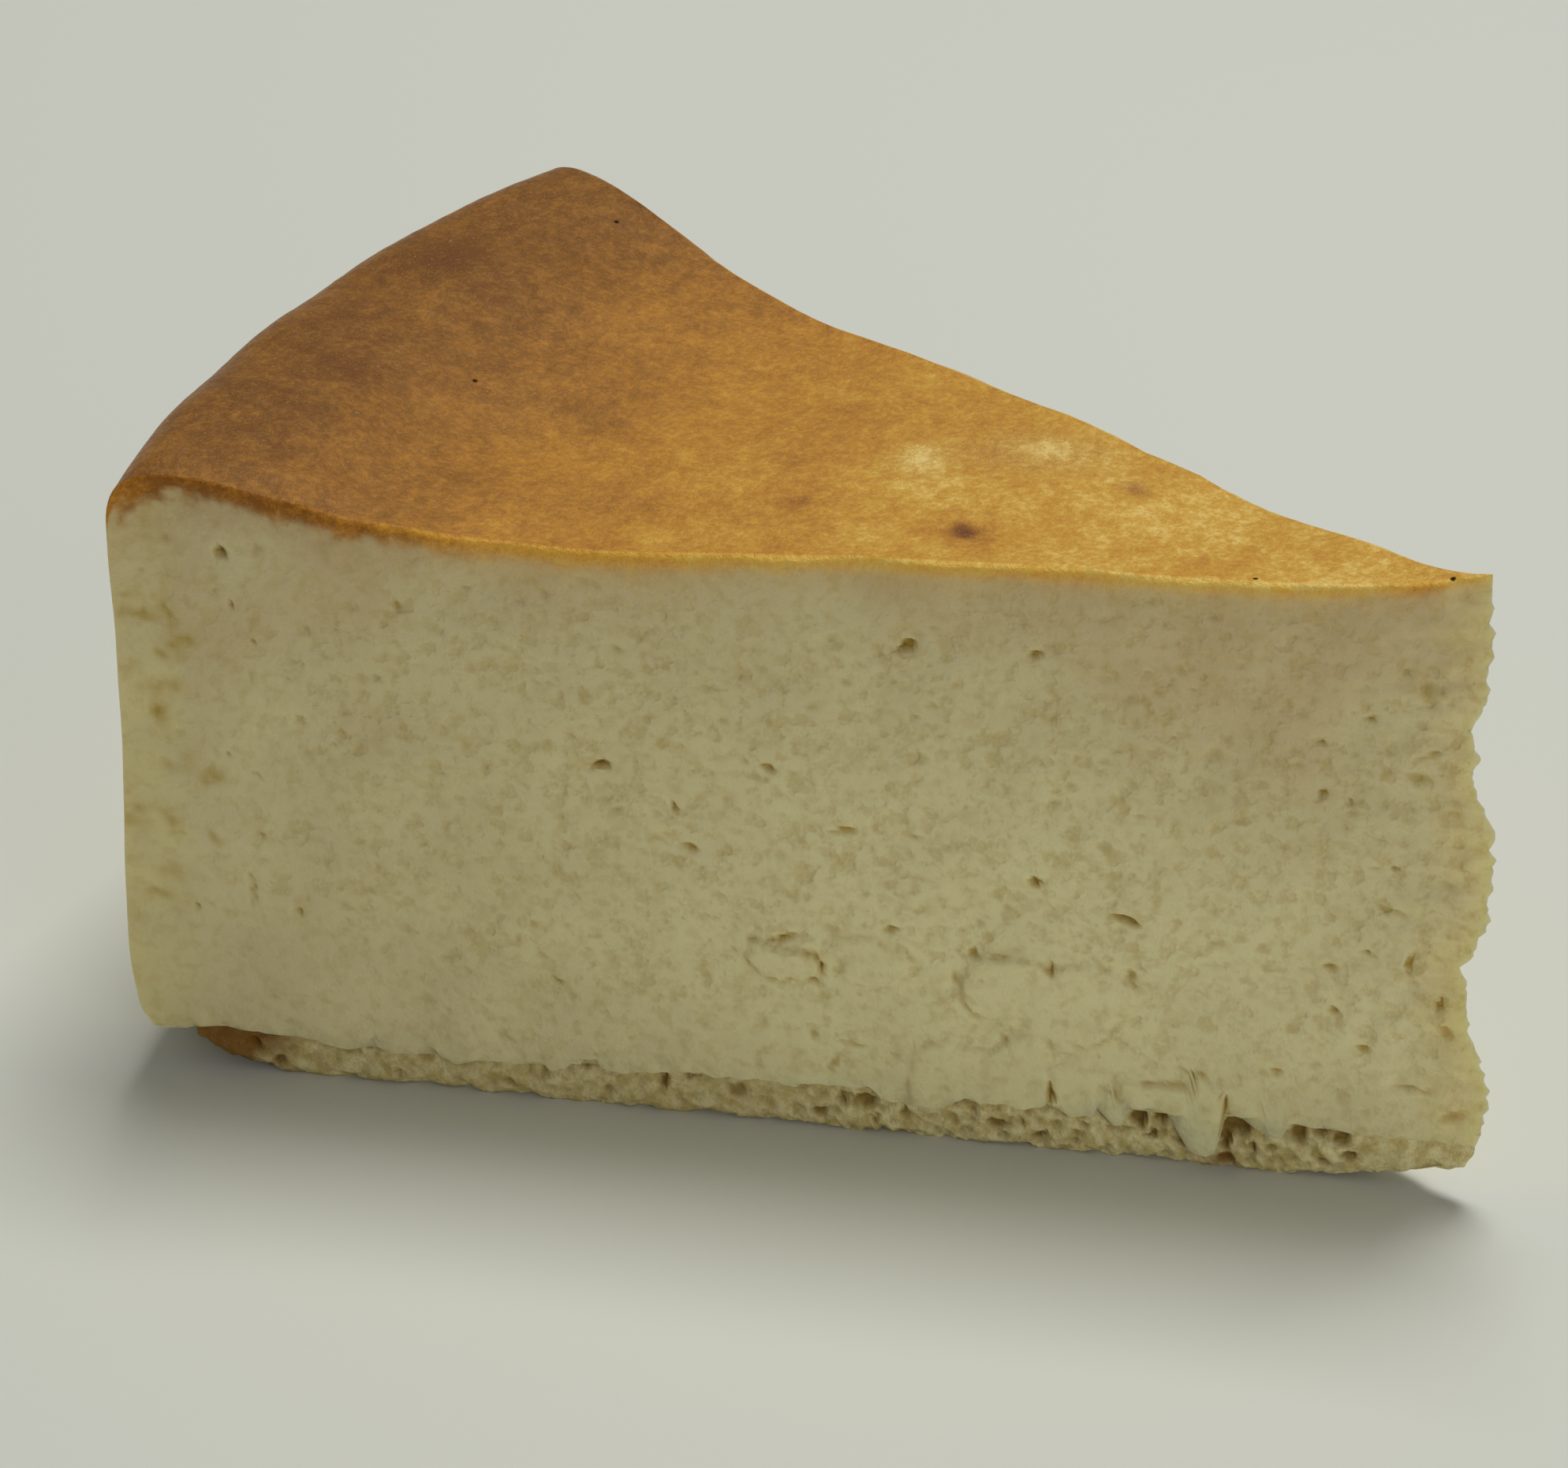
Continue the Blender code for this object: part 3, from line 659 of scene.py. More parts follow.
class Body:
    """One closed body, gathered patch by patch. A point is its place and its finish values."""

    def __init__(self):
        self.points = []
        self.triangles = []
        self.count = 0

    def take(self, points, triangles):
        self.points.append(points)
        self.triangles.append(triangles + self.count)
        self.count += len(points)

    def grid(self, patch):
        """Two triangles for each square of a patch of rows and columns."""
        rows, columns = patch.shape[:2]
        index = np.arange(rows * columns).reshape(rows, columns)
        a, b, c, d = index[:-1, :-1], index[1:, :-1], index[1:, 1:], index[:-1, 1:]
        halves = [np.stack(corners, -1).reshape(-1, 3) for corners in ((a, b, c), (a, c, d))]
        self.take(patch.reshape(rows * columns, -1), np.concatenate(halves))

    def strip(self, row_a, row_b):
        """Triangles between two rows of points that may differ in number, in step with each other."""
        steps_a = (np.arange(len(row_a) - 1) + 0.5) / max(1, len(row_a) - 1)
        steps_b = (np.arange(len(row_b) - 1) + 0.5) / max(1, len(row_b) - 1)
        order = np.argsort(np.concatenate((steps_a, steps_b)), kind="stable")
        on_a = order < len(steps_a)
        at_a = np.cumsum(on_a) - on_a
        at_b = np.cumsum(~on_a) - ~on_a
        third = np.where(on_a, at_a + 1, len(row_a) + at_b + 1)
        triangles = np.stack((at_a, third, len(row_a) + at_b), axis=1)
        self.take(np.concatenate((row_a, row_b)), triangles)

    def band(self, front, outer, back):
        """The front cut, the outer wall and the back cut, joined into one closed band."""
        rest = np.concatenate((outer, back[:0:-1]))
        self.grid(front)
        self.grid(rest)
        self.strip(front[-1], rest[0])
        self.strip(rest[-1], front[0])

    def cap(self, ring, rings, height):
        """Close a ring with ever smaller rings round its middle, and a fan in the last one."""
        closed = np.concatenate((ring, ring[:1]))
        middle = ring.mean(axis=0)
        outer = closed
        for step, (scale, count) in enumerate(rings):
            at = np.linspace(0, len(closed) - 1, count + 1)
            sampled = np.stack([np.interp(at, np.arange(len(closed)), column) for column in closed.T], axis=1)
            inner = middle + (sampled - middle) * scale
            inner[:, 2] = height(inner[:, 0], inner[:, 1]) if step else sampled[:, 2]
            inner[-1] = inner[0]
            self.strip(outer, inner)
            outer = inner
        centre = middle[None].copy()
        centre[:, 2] = height(centre[:, 0], centre[:, 1])
        self.strip(outer, centre)

    def make(self, name, finish, material, smooth_angle):
        """Join the points that coincide, drop flat triangles and make the object."""
        points = np.concatenate(self.points)
        keys = np.round(points[:, :3] / JOIN_WITHIN).astype(np.int64)
        _, first, joined = np.unique(keys, axis=0, return_index=True, return_inverse=True)
        triangles = joined.reshape(-1)[np.concatenate(self.triangles)]
        a, b, c = triangles.T
        triangles = triangles[(a != b) & (b != c) & (a != c)]
        points = points[first]
        data = bpy.data.meshes.new(name)
        shifted = points[:, :3] + (TIP_X, 0.0, 0.0)
        data.from_pydata(shifted.tolist(), [], triangles.tolist())
        for index, label in enumerate(finish, start=3):
            values = data.attributes.new(label, "FLOAT", "POINT")
            values.data.foreach_set("value", points[:, index].astype(np.float32))
        outward(data)
        data.shade_smooth()
        data.set_sharp_from_angle(angle=smooth_angle)
        data.materials.append(material)
        return add_object(name, data)


def add_object(name, data):
    """A new object of the given data in the scene."""
    added = bpy.data.objects.new(name, data)
    bpy.context.scene.collection.objects.link(added)
    return added


def stand(placed, place, right, upward, backward):
    """Put an object at a place, turned so that its own axes point right, up and back."""
    turn = Matrix(np.stack((right, upward, backward), axis=1).tolist()).to_4x4()
    placed.matrix_world = Matrix.Translation(tuple(place)) @ turn


def outward(data):
    """Turn every face of a closed mesh outwards."""
    mesh = bmesh.new()
    mesh.from_mesh(data)
    bmesh.ops.recalc_face_normals(mesh, faces=mesh.faces)
    mesh.to_mesh(data)
    mesh.free()


def stack(place, finish):
    """Put the three coordinates and the finish values of a patch side by side."""
    shape = np.broadcast(*place).shape
    columns = [np.broadcast_to(value, shape) for value in (*place, *finish)]
    return np.stack(columns, axis=-1)


def finished(place, **values):
    """The filling's coordinates and finish values side by side: a value that isn't named is 0."""
    return stack(place, [values.get(name, 0.0) for name in FINISH])


def rind_amount(along, up, seed):
    """Yellow, denser filling by the outer wall, and a painted yellow glow of light coming through the thin
    tip. Both fade high up, a painted shade that lets the darker upper filling show.
    """
    blotch = 0.3 * layered(along, up, 0.0, 4, seed, 2)
    by_wall = past(107, 111.5, along + 2 * MM * noise(along, up, 0.0, 3, seed + 1))
    by_tip = 1 - past(0.6, 6.0, along + 2.2 * MM * layered(along, up, 0.0, 4, seed + 2, 2))
    amount = np.maximum(0.6 * by_wall, 0.75 * by_tip) + blotch * (by_wall + by_tip)
    return np.clip(amount * (1 - 0.4 * past(28, 50, up)), 0, 1)


def shade_and_warmth_amount(along, up, below):
    """The filling's tone, mostly painted shade: palest low in the middle where most light falls, deeper and
    warmer towards the top and high by the tip. The warm tint just below the skin is its own colour, and the
    mottling differs at random.
    """
    spread = oval(along, up, 38, 14, 42, 27)
    by_tip = np.exp(-((along / MM - 20) / 16) ** 2) * past(20, 44, up)
    warmth = np.exp(-below / (7 * MM)) + 0.75 * by_tip
    mottle = 0.15 * layered(along, up, 0.0, 10, 541, 4)
    return np.clip(0.66 * (1 - np.exp(-spread)) + 0.34 * np.minimum(warmth, 1.0) + mottle, 0, 1)


def top_finish(form, x, y):
    """Browning, marks and gloss of the top from its place."""
    beside, inward = form.beside_front(x, y)
    reach = np.hypot(x, y) + 0.06 * inward
    browning = ramp_through(BROWNING_LINE, reach)
    browning = browning + 0.075 * layered(x, y, 0.0, 13, 401, 3)
    browning = browning + 0.065 * layered(x, y, 0.0, 3.2, 404, 3)
    browning = browning + 0.060 * noise(beside, inward / 1.6, 0.0, 1.2, 409)
    dark = mark_strength(beside, inward, DARK_MARKS)
    pale = mark_strength(beside, inward, PALE_MARKS)
    gloss = mark_strength(beside, inward, GLOSS_MARKS)
    return browning, dark, pale, gloss


def top_relief(form, x, y, along):
    """Fine lumps of the baked skin, dents under the dark marks and blisters by the pale ones."""
    beside, inward = form.beside_front(x, y)
    lumps = 0.05 * MM * layered(beside, inward, 0.0, 2.6, 421, 2)
    lumps = lumps + 0.018 * MM * noise(beside, inward, 0.0, 1.1, 431)
    dent = -0.16 * MM * mark_strength(beside, inward, DARK_MARKS[:3])
    blister = 0.12 * MM * mark_strength(beside, inward, PALE_MARKS)
    glossy = 0.10 * MM * mark_strength(beside, inward, GLOSS_MARKS)
    glossy = glossy * noise(beside, inward, 0.0, 1.3, 433)
    return (lumps + dent + blister + glossy) * np.minimum(1.0, along / (4 * MM))


def crest_lip(along):
    """Height of the thin lip that the cut skin raises along the crest."""
    return CREST_LIP * past(6, 22, along) * (1 - past(96, 108, along))


def painted_crest_highlight(along):
    """Painted highlight along the crest: how much less browned its thin line is than the skin beside it, not
    at all by the rim.
    """
    return 0.14 * (1 - past(88, 98, along))


def cut_patch(form, cut, places, rows, round_steps, wall):
    """A cut face with its rounded crest: rows climb the face, then turn in over the crest."""
    along = places[:, None]
    side = cut.side
    high = form.top_height(along, side)
    low, ragged = cut.under_edge(along)
    rounding = np.minimum(form.crest_round, 0.25 * along)
    level = np.linspace(0, 1, rows + 1)[None, :]
    turn = np.linspace(0, math.pi / 2, round_steps + 1)[None, 1:]
    face_up = low + (high - rounding - low) * level + ragged * (1 - ease(0.0, 0.14, level))
    round_up = high - rounding + (rounding + crest_lip(along)) * np.sin(turn)
    up = np.concatenate((face_up, round_up), axis=1)
    weight = np.concatenate((np.ones_like(level), np.cos(turn)), axis=1)
    along = np.broadcast_to(along, up.shape)
    proud, hollow, torn = cut.relief(along, up)
    proud = proud * weight - rounding * (1 - weight)
    place = form.on_cut(along, side, up, proud, wall)
    on_top, dark, pale, gloss = top_finish(form, place[0], place[1])
    below = np.maximum(0.0, high - up)
    skin = skin_amount(along, side, below, 501 + cut.seed)
    on_edge = ramp_through(EDGE_BROWNING_LINE, along)
    on_edge = on_edge + 0.10 * layered(along, up, 0.0, 3.0, 531 + cut.seed, 2)
    crest_line = np.sin(2 * np.arccos(np.clip(weight, 0, 1)))
    # The crest's thin line is painted paler, a painted highlight
    browning = on_top * (1 - weight) + on_edge * weight - crest_line * painted_crest_highlight(along)
    rind = rind_amount(along, up, 520 + cut.seed)
    top_share = 1 - weight
    return finished(place, skin=skin, edge=weight, browning=browning, hollow=hollow, torn=torn, rind=rind,
                    mark=dark * top_share, pale=pale * top_share, gloss=gloss * top_share,
                    shade=shade_and_warmth_amount(along, up, below))


def wall_patch(form, sides, rows, wall):
    """The round outer wall: fine upright creases, browned by the shoulder and pale below."""
    side = sides[:, None]
    high = form.top_height(form.radius, side)
    low = FILLING_LIP_LINE[-1][1] * MM
    level = np.linspace(0, 1, rows + 1)[None, :]
    up = low + (high - low) * level
    around = side * form.half_angle * form.radius
    creases = layered(around, up / 4, 0.0, 5, 601, 3) + 0.4 * layered(around, up, 0.0, 2.6, 605, 2)
    fade = past(0, 4, (1 - np.abs(side)) * form.half_angle * form.radius)
    fade = fade * (1 - ease(high - 3 * MM, high, up)) * ease(low, low + 2 * MM, up)
    place = form.round_wall(wall(up) + CREASE_HEIGHT * creases * fade, side, up)
    blotch = 2.2 * MM * layered(around, up, 0.0, 7, 611, 3)
    skin = past(45, 54, up + blotch)
    browning = 0.30 + 0.5 * past(46, 54, up + 0.6 * blotch)
    torn = 0.4 + 0.3 * layered(around, up, 0.0, 9, 615, 2)
    rind = np.clip(0.6 + 0.2 * layered(around, up, 0.0, 9, 621, 2), 0, 1)
    return finished(place, skin=skin, edge=0.5 * (1 - past(50, 53, up)), browning=browning, torn=torn,
                    rind=rind, shade=shade_and_warmth_amount(form.radius, up, high - up))


def top_stations(form, places, front_crest, back_crest):
    """Rows of points across the top, one for each column of the front cut."""
    rounding = np.minimum(form.crest_round, 0.25 * places)
    inset = np.arcsin(rounding / np.maximum(places, 1e-9))
    width = 2 * form.half_angle * places
    counts = np.maximum(1, np.round(width / TOP_STEP)).astype(int)
    share = np.concatenate([np.linspace(0, 1, count + 1) for count in counts])
    station = np.repeat(np.arange(len(places)), counts + 1)
    along = places[station]
    angle = (share * 2 - 1) * (form.half_angle - inset[station])
    distance = np.hypot(along, rounding[station])
    x = -distance * np.cos(angle)
    y = distance * np.sin(angle)
    up = form.top_height(along, angle / form.half_angle)
    across = distance * 2 * (form.half_angle - inset[station])
    near_edge = np.minimum(share, 1 - share) * across
    up = up + crest_lip(along) * np.exp(-(near_edge / (0.55 * MM)) ** 2)
    inner = past(0, 1.2, near_edge) * (1 - ease(form.radius - 1.5 * MM, form.radius, along))
    up = up + inner * top_relief(form, x, y, along)
    x = x + form.tip_shift(up) * np.exp(-distance / TIP_REACH)
    browning, dark, pale, gloss = top_finish(form, x, y)
    # The top's edge by the crest is painted paler, a painted highlight
    browning = browning - np.exp(-(near_edge / (0.3 * MM)) ** 2) * painted_crest_highlight(along)
    points = finished((x, y, up), skin=1.0, browning=browning, mark=dark, pale=pale, gloss=gloss, shade=1.0)
    rows = np.split(points, np.cumsum(counts + 1)[:-1])
    for row, front, back in zip(rows, front_crest, back_crest):
        row[0] = front
        row[-1] = back
    return rows


def make_filling(form, material):
    """The filling as one closed body: fine front cut, wall, back cut, browned top and underside."""
    body = Body()
    fine = form.places(FRONT_STEP, SHOULDER_STEPS, form.radius)
    coarse = form.places(BACK_STEP, BACK_SHOULDER_STEPS, form.radius)

    def wall(up):
        return curve_through(WALL_LINE, up)

    front_cut = FillingCut(form, -1.0, fine, True)
    back_cut = FillingCut(form, 1.0, coarse, False)
    front = cut_patch(form, front_cut, fine, FRONT_ROWS, ROUND_STEPS, wall)
    back = cut_patch(form, back_cut, coarse, BACK_ROWS, 0, wall)
    back_crest = cut_patch(form, FillingCut(form, 1.0, fine, False), fine, 1, 2, wall)[:, 2:]
    sides = np.linspace(-1, 1, WALL_STEPS + 1)[1:-1]
    outer = wall_patch(form, sides, BACK_ROWS, wall)
    body.band(front, outer, back)
    tip_top = front[0, -1]
    back_crest[0] = tip_top
    stations = top_stations(form, fine, front[:, -1], back_crest[:, 1])
    stations[0] = tip_top[None]
    for one, following in zip(stations, stations[1:]):
        body.strip(one, following)
    rim_chain = np.concatenate((stations[-1], back_crest[-1:, 0]))
    wall_chain = np.concatenate((front[-1:, -1], outer[:, -1], back[-1:, -1]))
    body.strip(rim_chain, wall_chain)
    body.strip(back_crest[:, 1], back_crest[:, 0])
    body.strip(back_crest[:, 0], np.concatenate((tip_top[None], back[1:, -1])))

    def under(x, y):
        return filling_under(np.hypot(x, y))

    ring = np.concatenate((front[:, 0], outer[:, 0], back[:0:-1, 0]))
    body.cap(ring, FILLING_RINGS, under)
    return body.make("baked_filling", FINISH, material, FILLING_SHARP)


SPONGE_FINISH = ("cavity_shade", "toasted")


def sponge_relief(places, along, up, seed, named):
    """Open crumb: small round cavities, rough crumbs between them, and the larger torn pockets."""
    bent_along = along + 0.35 * MM * layered(along, up, 0.0, 1.0, seed, 2)
    bent_up = up + 0.35 * MM * layered(along, up, 0.0, 1.0, seed + 2, 2)
    large = cell_distance(bent_along / MM, bent_up / MM * 1.2, 1.9, seed + 4)
    small = cell_distance(bent_along / MM, bent_up / MM, 0.8, seed + 5)
    open_crumb = past(6, 12, along) * (1 - 0.6 * past(45, 65, along))
    pocket = 0.36 * (1 - ease(0.05, 0.45, large)) + 0.22 * (1 - ease(0.05, 0.50, small))
    pocket = pocket * (0.25 + 0.75 * open_crumb)
    if named:
        pocket = np.maximum(pocket, carve(places, bent_along, bent_up, SPONGE_HOLLOWS) / MM)
    crumbs = (0.10 + 0.08 * open_crumb) * layered(along, up, 0.0, 1.1, seed + 6, 2)
    waves = 0.28 * layered(along, 0.0, 0.0, 6, seed + 9, 2)
    # The second value is the painted shade of the pockets, from their depth
    return (crumbs + waves - pocket - 0.2) * MM, np.clip(1.3 * pocket, 0, 1)


def sponge_patch(form, side, places, rows):
    """A cut side of the sponge, with its crumbling lower edge."""
    seed = 701 if side < 0 else 731
    along = places[:, None]
    under = np.maximum(0.0, line_through(BASE_UNDER_LINE, along))
    crumble = 0.35 + 0.75 * layered(along, 0.0, side * MM, 2.6, seed + 29, 3)
    low = under + np.clip(crumble, 0.0, 1.2) * 0.55 * MM
    high = curve_through(BASE_TOP_LINE, along) + CUT_OVERLAP
    level = np.linspace(0, 1, rows + 1)[None, :]
    up = low + (high - low) * level
    along = np.broadcast_to(along, up.shape)
    proud, cavity_shade = sponge_relief(places, along, up, seed, side < 0)
    worn = 0.45 * MM * (1 - past(0, 0.8, up - low))
    overhung = 0.35 * MM * past(-1.2, -0.2, up - curve_through(BASE_TOP_LINE, along))
    proud = (proud - worn - overhung) * past(0, 3, along)
    place = form.on_cut(along, side, up, np.maximum(proud, -0.25 * along))
    toasted = past(99.5, 104, along + 2.5 * MM * noise(along, up, 0.0, 3, seed + 12))
    speck = np.exp(-oval(along, up, 19.8, 0.8, 1.3, 1.0))
    # Besides the toasted end and a brown speck, the crumb is also a little darker from 40 mm to 70 mm from
    # the tip
    toasted = np.clip(np.maximum(toasted, 0.75 * speck) + 0.15 * past(40, 70, along), 0, 1)
    return stack(place, (cavity_shade, toasted))


def make_sponge(form, material):
    """The sponge base as one closed body with an open crumb on its cut sides."""
    body = Body()
    fine = form.places(SPONGE_STEP, SPONGE_SHOULDER_STEPS, BASE_RADIUS)
    coarse = form.places(SPONGE_BACK_STEP, SPONGE_BACK_SHOULDER_STEPS, BASE_RADIUS)
    front = sponge_patch(form, -1.0, fine, SPONGE_ROWS)
    back = sponge_patch(form, 1.0, coarse, SPONGE_ROWS)
    sides = np.linspace(-1, 1, SPONGE_WALL_STEPS + 1)[1:-1, None]
    level = np.linspace(0, 1, SPONGE_ROWS + 1)[None, :]
    low = BASE_UNDER_LINE[-1][1] * MM
    up = low + (BASE_TOP_LINE[-1][1] * MM + END_OVERLAP - low) * level + 0.0 * sides
    around = sides * form.half_angle * BASE_RADIUS
    distance = BASE_RADIUS + 0.2 * MM * layered(around, up, 0.0, 2.5, 761, 2)
    place = form.round_wall(distance, sides, up)
    outer = stack(place, (0.0 * up, 0.0 * up + 1.0))
    body.band(front, outer, back)

    def under(x, y):
        distance = np.minimum(np.hypot(x, y), BASE_RADIUS)
        return np.maximum(0.0, line_through(BASE_UNDER_LINE, distance))

    def over(x, y):
        return curve_through(BASE_TOP_LINE, np.hypot(x, y)) + MIDDLE_OVERLAP

    for row, height in ((0, under), (-1, over)):
        ring = np.concatenate((front[:, row], outer[:, row], back[:0:-1, row]))
        body.cap(ring, SPONGE_RINGS, height)
    return body.make("sponge_crumb", SPONGE_FINISH, material, SPONGE_SHARP)


class Nodes:
    """Adds and joins nodes of one material."""

    def __init__(self, name):
        self.material = bpy.data.materials.new(name)
        self.material.use_nodes = True
        self.tree = self.material.node_tree
        self.shader = self.tree.nodes["Principled BSDF"]
        self.place = self.add("ShaderNodeTexCoord").outputs["Object"]

    def add(self, kind, inputs=None, **settings):
        node = self.tree.nodes.new(kind)
        for name, value in settings.items():
            setattr(node, name, value)
        self.fill(node, inputs or {})
        return node

    def fill(self, node, inputs):
        """Give a node's inputs, by name, a value or a link."""
        for name, value in inputs.items():
            self.put(node.inputs[name], value)

    def put(self, socket, value):
        if isinstance(value, bpy.types.NodeSocket):
            self.tree.links.new(value, socket)
        elif isinstance(value, bpy.types.Node):
            self.tree.links.new(value.outputs[0], socket)
        else:
            socket.default_value = value

    def attribute(self, name):
        return self.add("ShaderNodeAttribute", attribute_name=name).outputs["Fac"]

    def noise(self, size, detail=2.0, rough=0.5):
        """Noise of about 0 to 1 whose largest grains are of the given size in metres."""
        return self.add("ShaderNodeTexNoise", {"Vector": self.place, "Scale": 1.0 / size, "Detail": detail,
                                               "Roughness": rough}).outputs["Fac"]

    def sums(self, operation, *values):
        node = self.add("ShaderNodeMath", operation=operation)
        for socket, value in zip(node.inputs, values):
            self.put(socket, value)
        return node.outputs[0]

    def times(self, first, second):
        return self.sums("MULTIPLY", first, second)

    def plus(self, first, *others):
        for other in others:
            first = self.sums("ADD", first, other)
        return first

    def between(self, value, low, high, to_low=0.0, to_high=1.0):
        """Map a value from one range to another, smoothly and without overshoot."""
        return self.add("ShaderNodeMapRange", {"Value": value, "From Min": low, "From Max": high,
                                               "To Min": to_low, "To Max": to_high},
                        interpolation_type="SMOOTHSTEP").outputs[0]

    def blend(self, amount, first, second):
        """Blend two plain values."""
        node = self.add("ShaderNodeMix", {"Factor": amount, "A": first, "B": second}, data_type="FLOAT")
        return node.outputs[0]

    def mix(self, amount, first, second):
        """Blend two colours."""
        node = self.add("ShaderNodeMix", data_type="RGBA")
        for index, value in ((0, amount), (6, first), (7, second)):
            self.put(node.inputs[index], value)
        return node.outputs[2]

    def ramp(self, value, stops):
        """Colour by value through the given stops."""
        node = self.add("ShaderNodeValToRGB", {"Fac": value})
        band = node.color_ramp
        while len(band.elements) < len(stops):
            band.elements.new(0.5)
        for element, (position, colour) in zip(band.elements, stops):
            element.position = position
            element.color = opaque(colour)
        return node.outputs["Color"]

    def near(self, places, inner, outer):
        """1 within the inner radius of any of the places, 0 beyond the outer radius."""
        nearest = 1.0
        for place in places:
            gap = self.add("ShaderNodeVectorMath", operation="DISTANCE")
            self.put(gap.inputs[0], self.place)
            self.put(gap.inputs[1], place)
            nearest = self.sums("MINIMUM", nearest, gap.outputs["Value"])
        return self.between(nearest, inner, outer, 1.0, 0.0)


def opaque(colour):
    """A colour with full alpha."""
    return (*colour[:3], 1.0)


def filling_material(form, colours):
    """Cream filling with a yellower rind that also carries a painted glow at the thin tip, painted shade in
    its torn pits and hollows, and a browned satin skin with painted glints and painted shade in its pin
    holes.
    """
    nodes = Nodes("baked_filling")
    skin = nodes.attribute("skin")
    edge = nodes.attribute("edge")
    hollow = nodes.attribute("hollow")
    torn = nodes.attribute("torn")
    grain = nodes.noise(GRAIN_SIZE, 3.0, 0.75)
    curds = nodes.noise(CURD_SIZE, 1.0, 0.5)
    pits = nodes.between(nodes.noise(TEAR_SIZE, 2.0, 0.55), 0.47, 0.72)

    # The shade attribute gives painted shade on the cream: palest low in the middle, deeper and warmer
    # towards the top
    cream = nodes.ramp(nodes.attribute("shade"), ((0.0, colours.cream), (0.66, colours.cream_painted_shade),
                                                  (1.0, colours.cream_warm)))
    # The rind colour is partly the dense rind's own yellow by the wall and partly a painted glow of light
    # through the thin tip
    cream = nodes.mix(nodes.attribute("rind"), cream, opaque(colours.rind))
    # Painted shade in the torn pits and hollows, with random curd and grain mottling, all mixed towards the
    # hollow colour
    pitted = nodes.plus(nodes.times(pits, nodes.between(torn, 0.0, 1.0, 0.08, 0.32)),
                        nodes.between(curds, 0.46, 0.74, 0.0, 0.20),
                        nodes.between(grain, 0.50, 0.80, 0.0, 0.10))
    pitted = nodes.sums("MAXIMUM", pitted, nodes.times(hollow, 0.95))
    cream = nodes.mix(pitted, cream, opaque(colours.hollow))

    mark = nodes.attribute("mark")
    tone = nodes.plus(nodes.attribute("browning"), nodes.between(grain, 0.30, 0.70, -0.11, 0.11),
                      nodes.between(curds, 0.30, 0.70, -0.045, 0.045),
                      nodes.times(nodes.attribute("pale"), -0.30), nodes.times(mark, 0.30))
    top = nodes.ramp(tone, ((0.0, colours.skin_pale), (0.25, colours.skin_golden),
                            (0.45, colours.skin_amber), (0.65, colours.skin_brown),
                            (0.85, colours.skin_dark), (1.0, colours.skin_darkest)))
    rim = nodes.ramp(tone, ((0.0, colours.edge_pale), (0.25, colours.edge_golden), (0.5, colours.edge_amber),
                            (0.75, colours.edge_brown), (1.0, colours.edge_dark)))
    baked = nodes.mix(edge, top, rim)
    baked = nodes.mix(nodes.between(mark, 0.3, 1.0, 0.0, 0.8), baked, opaque(colours.mark))
    # Painted glints: pale specks on the skin where the grain is highest, standing in for highlights
    baked = nodes.mix(nodes.between(grain, 0.60, 0.76, 0.0, 0.30), baked, opaque(colours.skin_pale))
    # Pin holes are painted only: a near-black spot is the painted shade inside each tiny hole, and it has no
    # shine
    holes = [form.on_top(beside * MM, inward * MM) for beside, inward in PIN_HOLES]
    places = [(x + TIP_X, y, z) for x, y, z in holes]
    pin_hole_shade_mask = nodes.near(places, 0.7 * PIN_HOLE_RADIUS, 1.4 * PIN_HOLE_RADIUS)
    baked = nodes.mix(pin_hole_shade_mask, baked, opaque(colours.pin_hole_shade))

    gloss = nodes.attribute("gloss")
    skin_rough = nodes.between(gloss, 0.0, 1.0, 0.34, 0.24)
    shine = nodes.blend(skin, 0.25, nodes.between(gloss, 0.0, 1.0, 0.19, 0.42))
    tears = nodes.times(pits, nodes.between(torn, 0.0, 1.0, 0.15, 0.45))
    curd = nodes.sums("SUBTRACT", nodes.times(grain, 0.5), tears)
    leather = nodes.times(grain, nodes.between(gloss, 0.0, 1.0, 0.9, 1.3))
    bump = nodes.add("ShaderNodeBump", {"Height": nodes.blend(skin, curd, leather), "Strength": 1.0,
                                        "Distance": SKIN_BUMP})
    nodes.fill(nodes.shader, {
        "Base Color": nodes.mix(skin, cream, baked),
        "Roughness": nodes.blend(skin, 0.62, skin_rough),
        "Subsurface Weight": nodes.blend(skin, 0.30, 0.12),
        "Subsurface Radius": (1.0, 0.62, 0.28),
        "Subsurface Scale": 0.0020,
        "Specular IOR Level": nodes.times(shine, nodes.sums("SUBTRACT", 1.0, pin_hole_shade_mask)),
        "Normal": bump,
    })
    return nodes.material


def sponge_material(colours):
    """Pale open sponge with painted shade in its cavities, a little darker from 40 mm to 70 mm from the tip,
    and toasted at its outer end.
    """
    nodes = Nodes("sponge")
    fleck = nodes.noise(FLECK_SIZE, 3.0, 0.65)
    crumb = nodes.mix(nodes.between(fleck, 0.32, 0.66), opaque(colours.sponge), opaque(colours.sponge_shade))
    cavity_shade = nodes.times(nodes.attribute("cavity_shade"), 0.95)
    crumb = nodes.mix(cavity_shade, crumb, opaque(colours.sponge_cavity_shade))
    toasted = nodes.times(nodes.attribute("toasted"), 0.92)
    crumb = nodes.mix(toasted, crumb, opaque(colours.toasted))
    bump = nodes.add("ShaderNodeBump", {"Height": nodes.noise(CRUMB_SIZE, 3.0, 0.7), "Strength": 1.0,
                                        "Distance": CRUMB_BUMP})
    nodes.fill(nodes.shader, {
        "Base Color": crumb,
        "Roughness": 0.75,
        "Specular IOR Level": 0.12,
        "Subsurface Weight": 0.15,
        "Subsurface Radius": (1.0, 0.6, 0.3),
        "Subsurface Scale": 0.0010,
        "Normal": bump,
    })
    return nodes.material


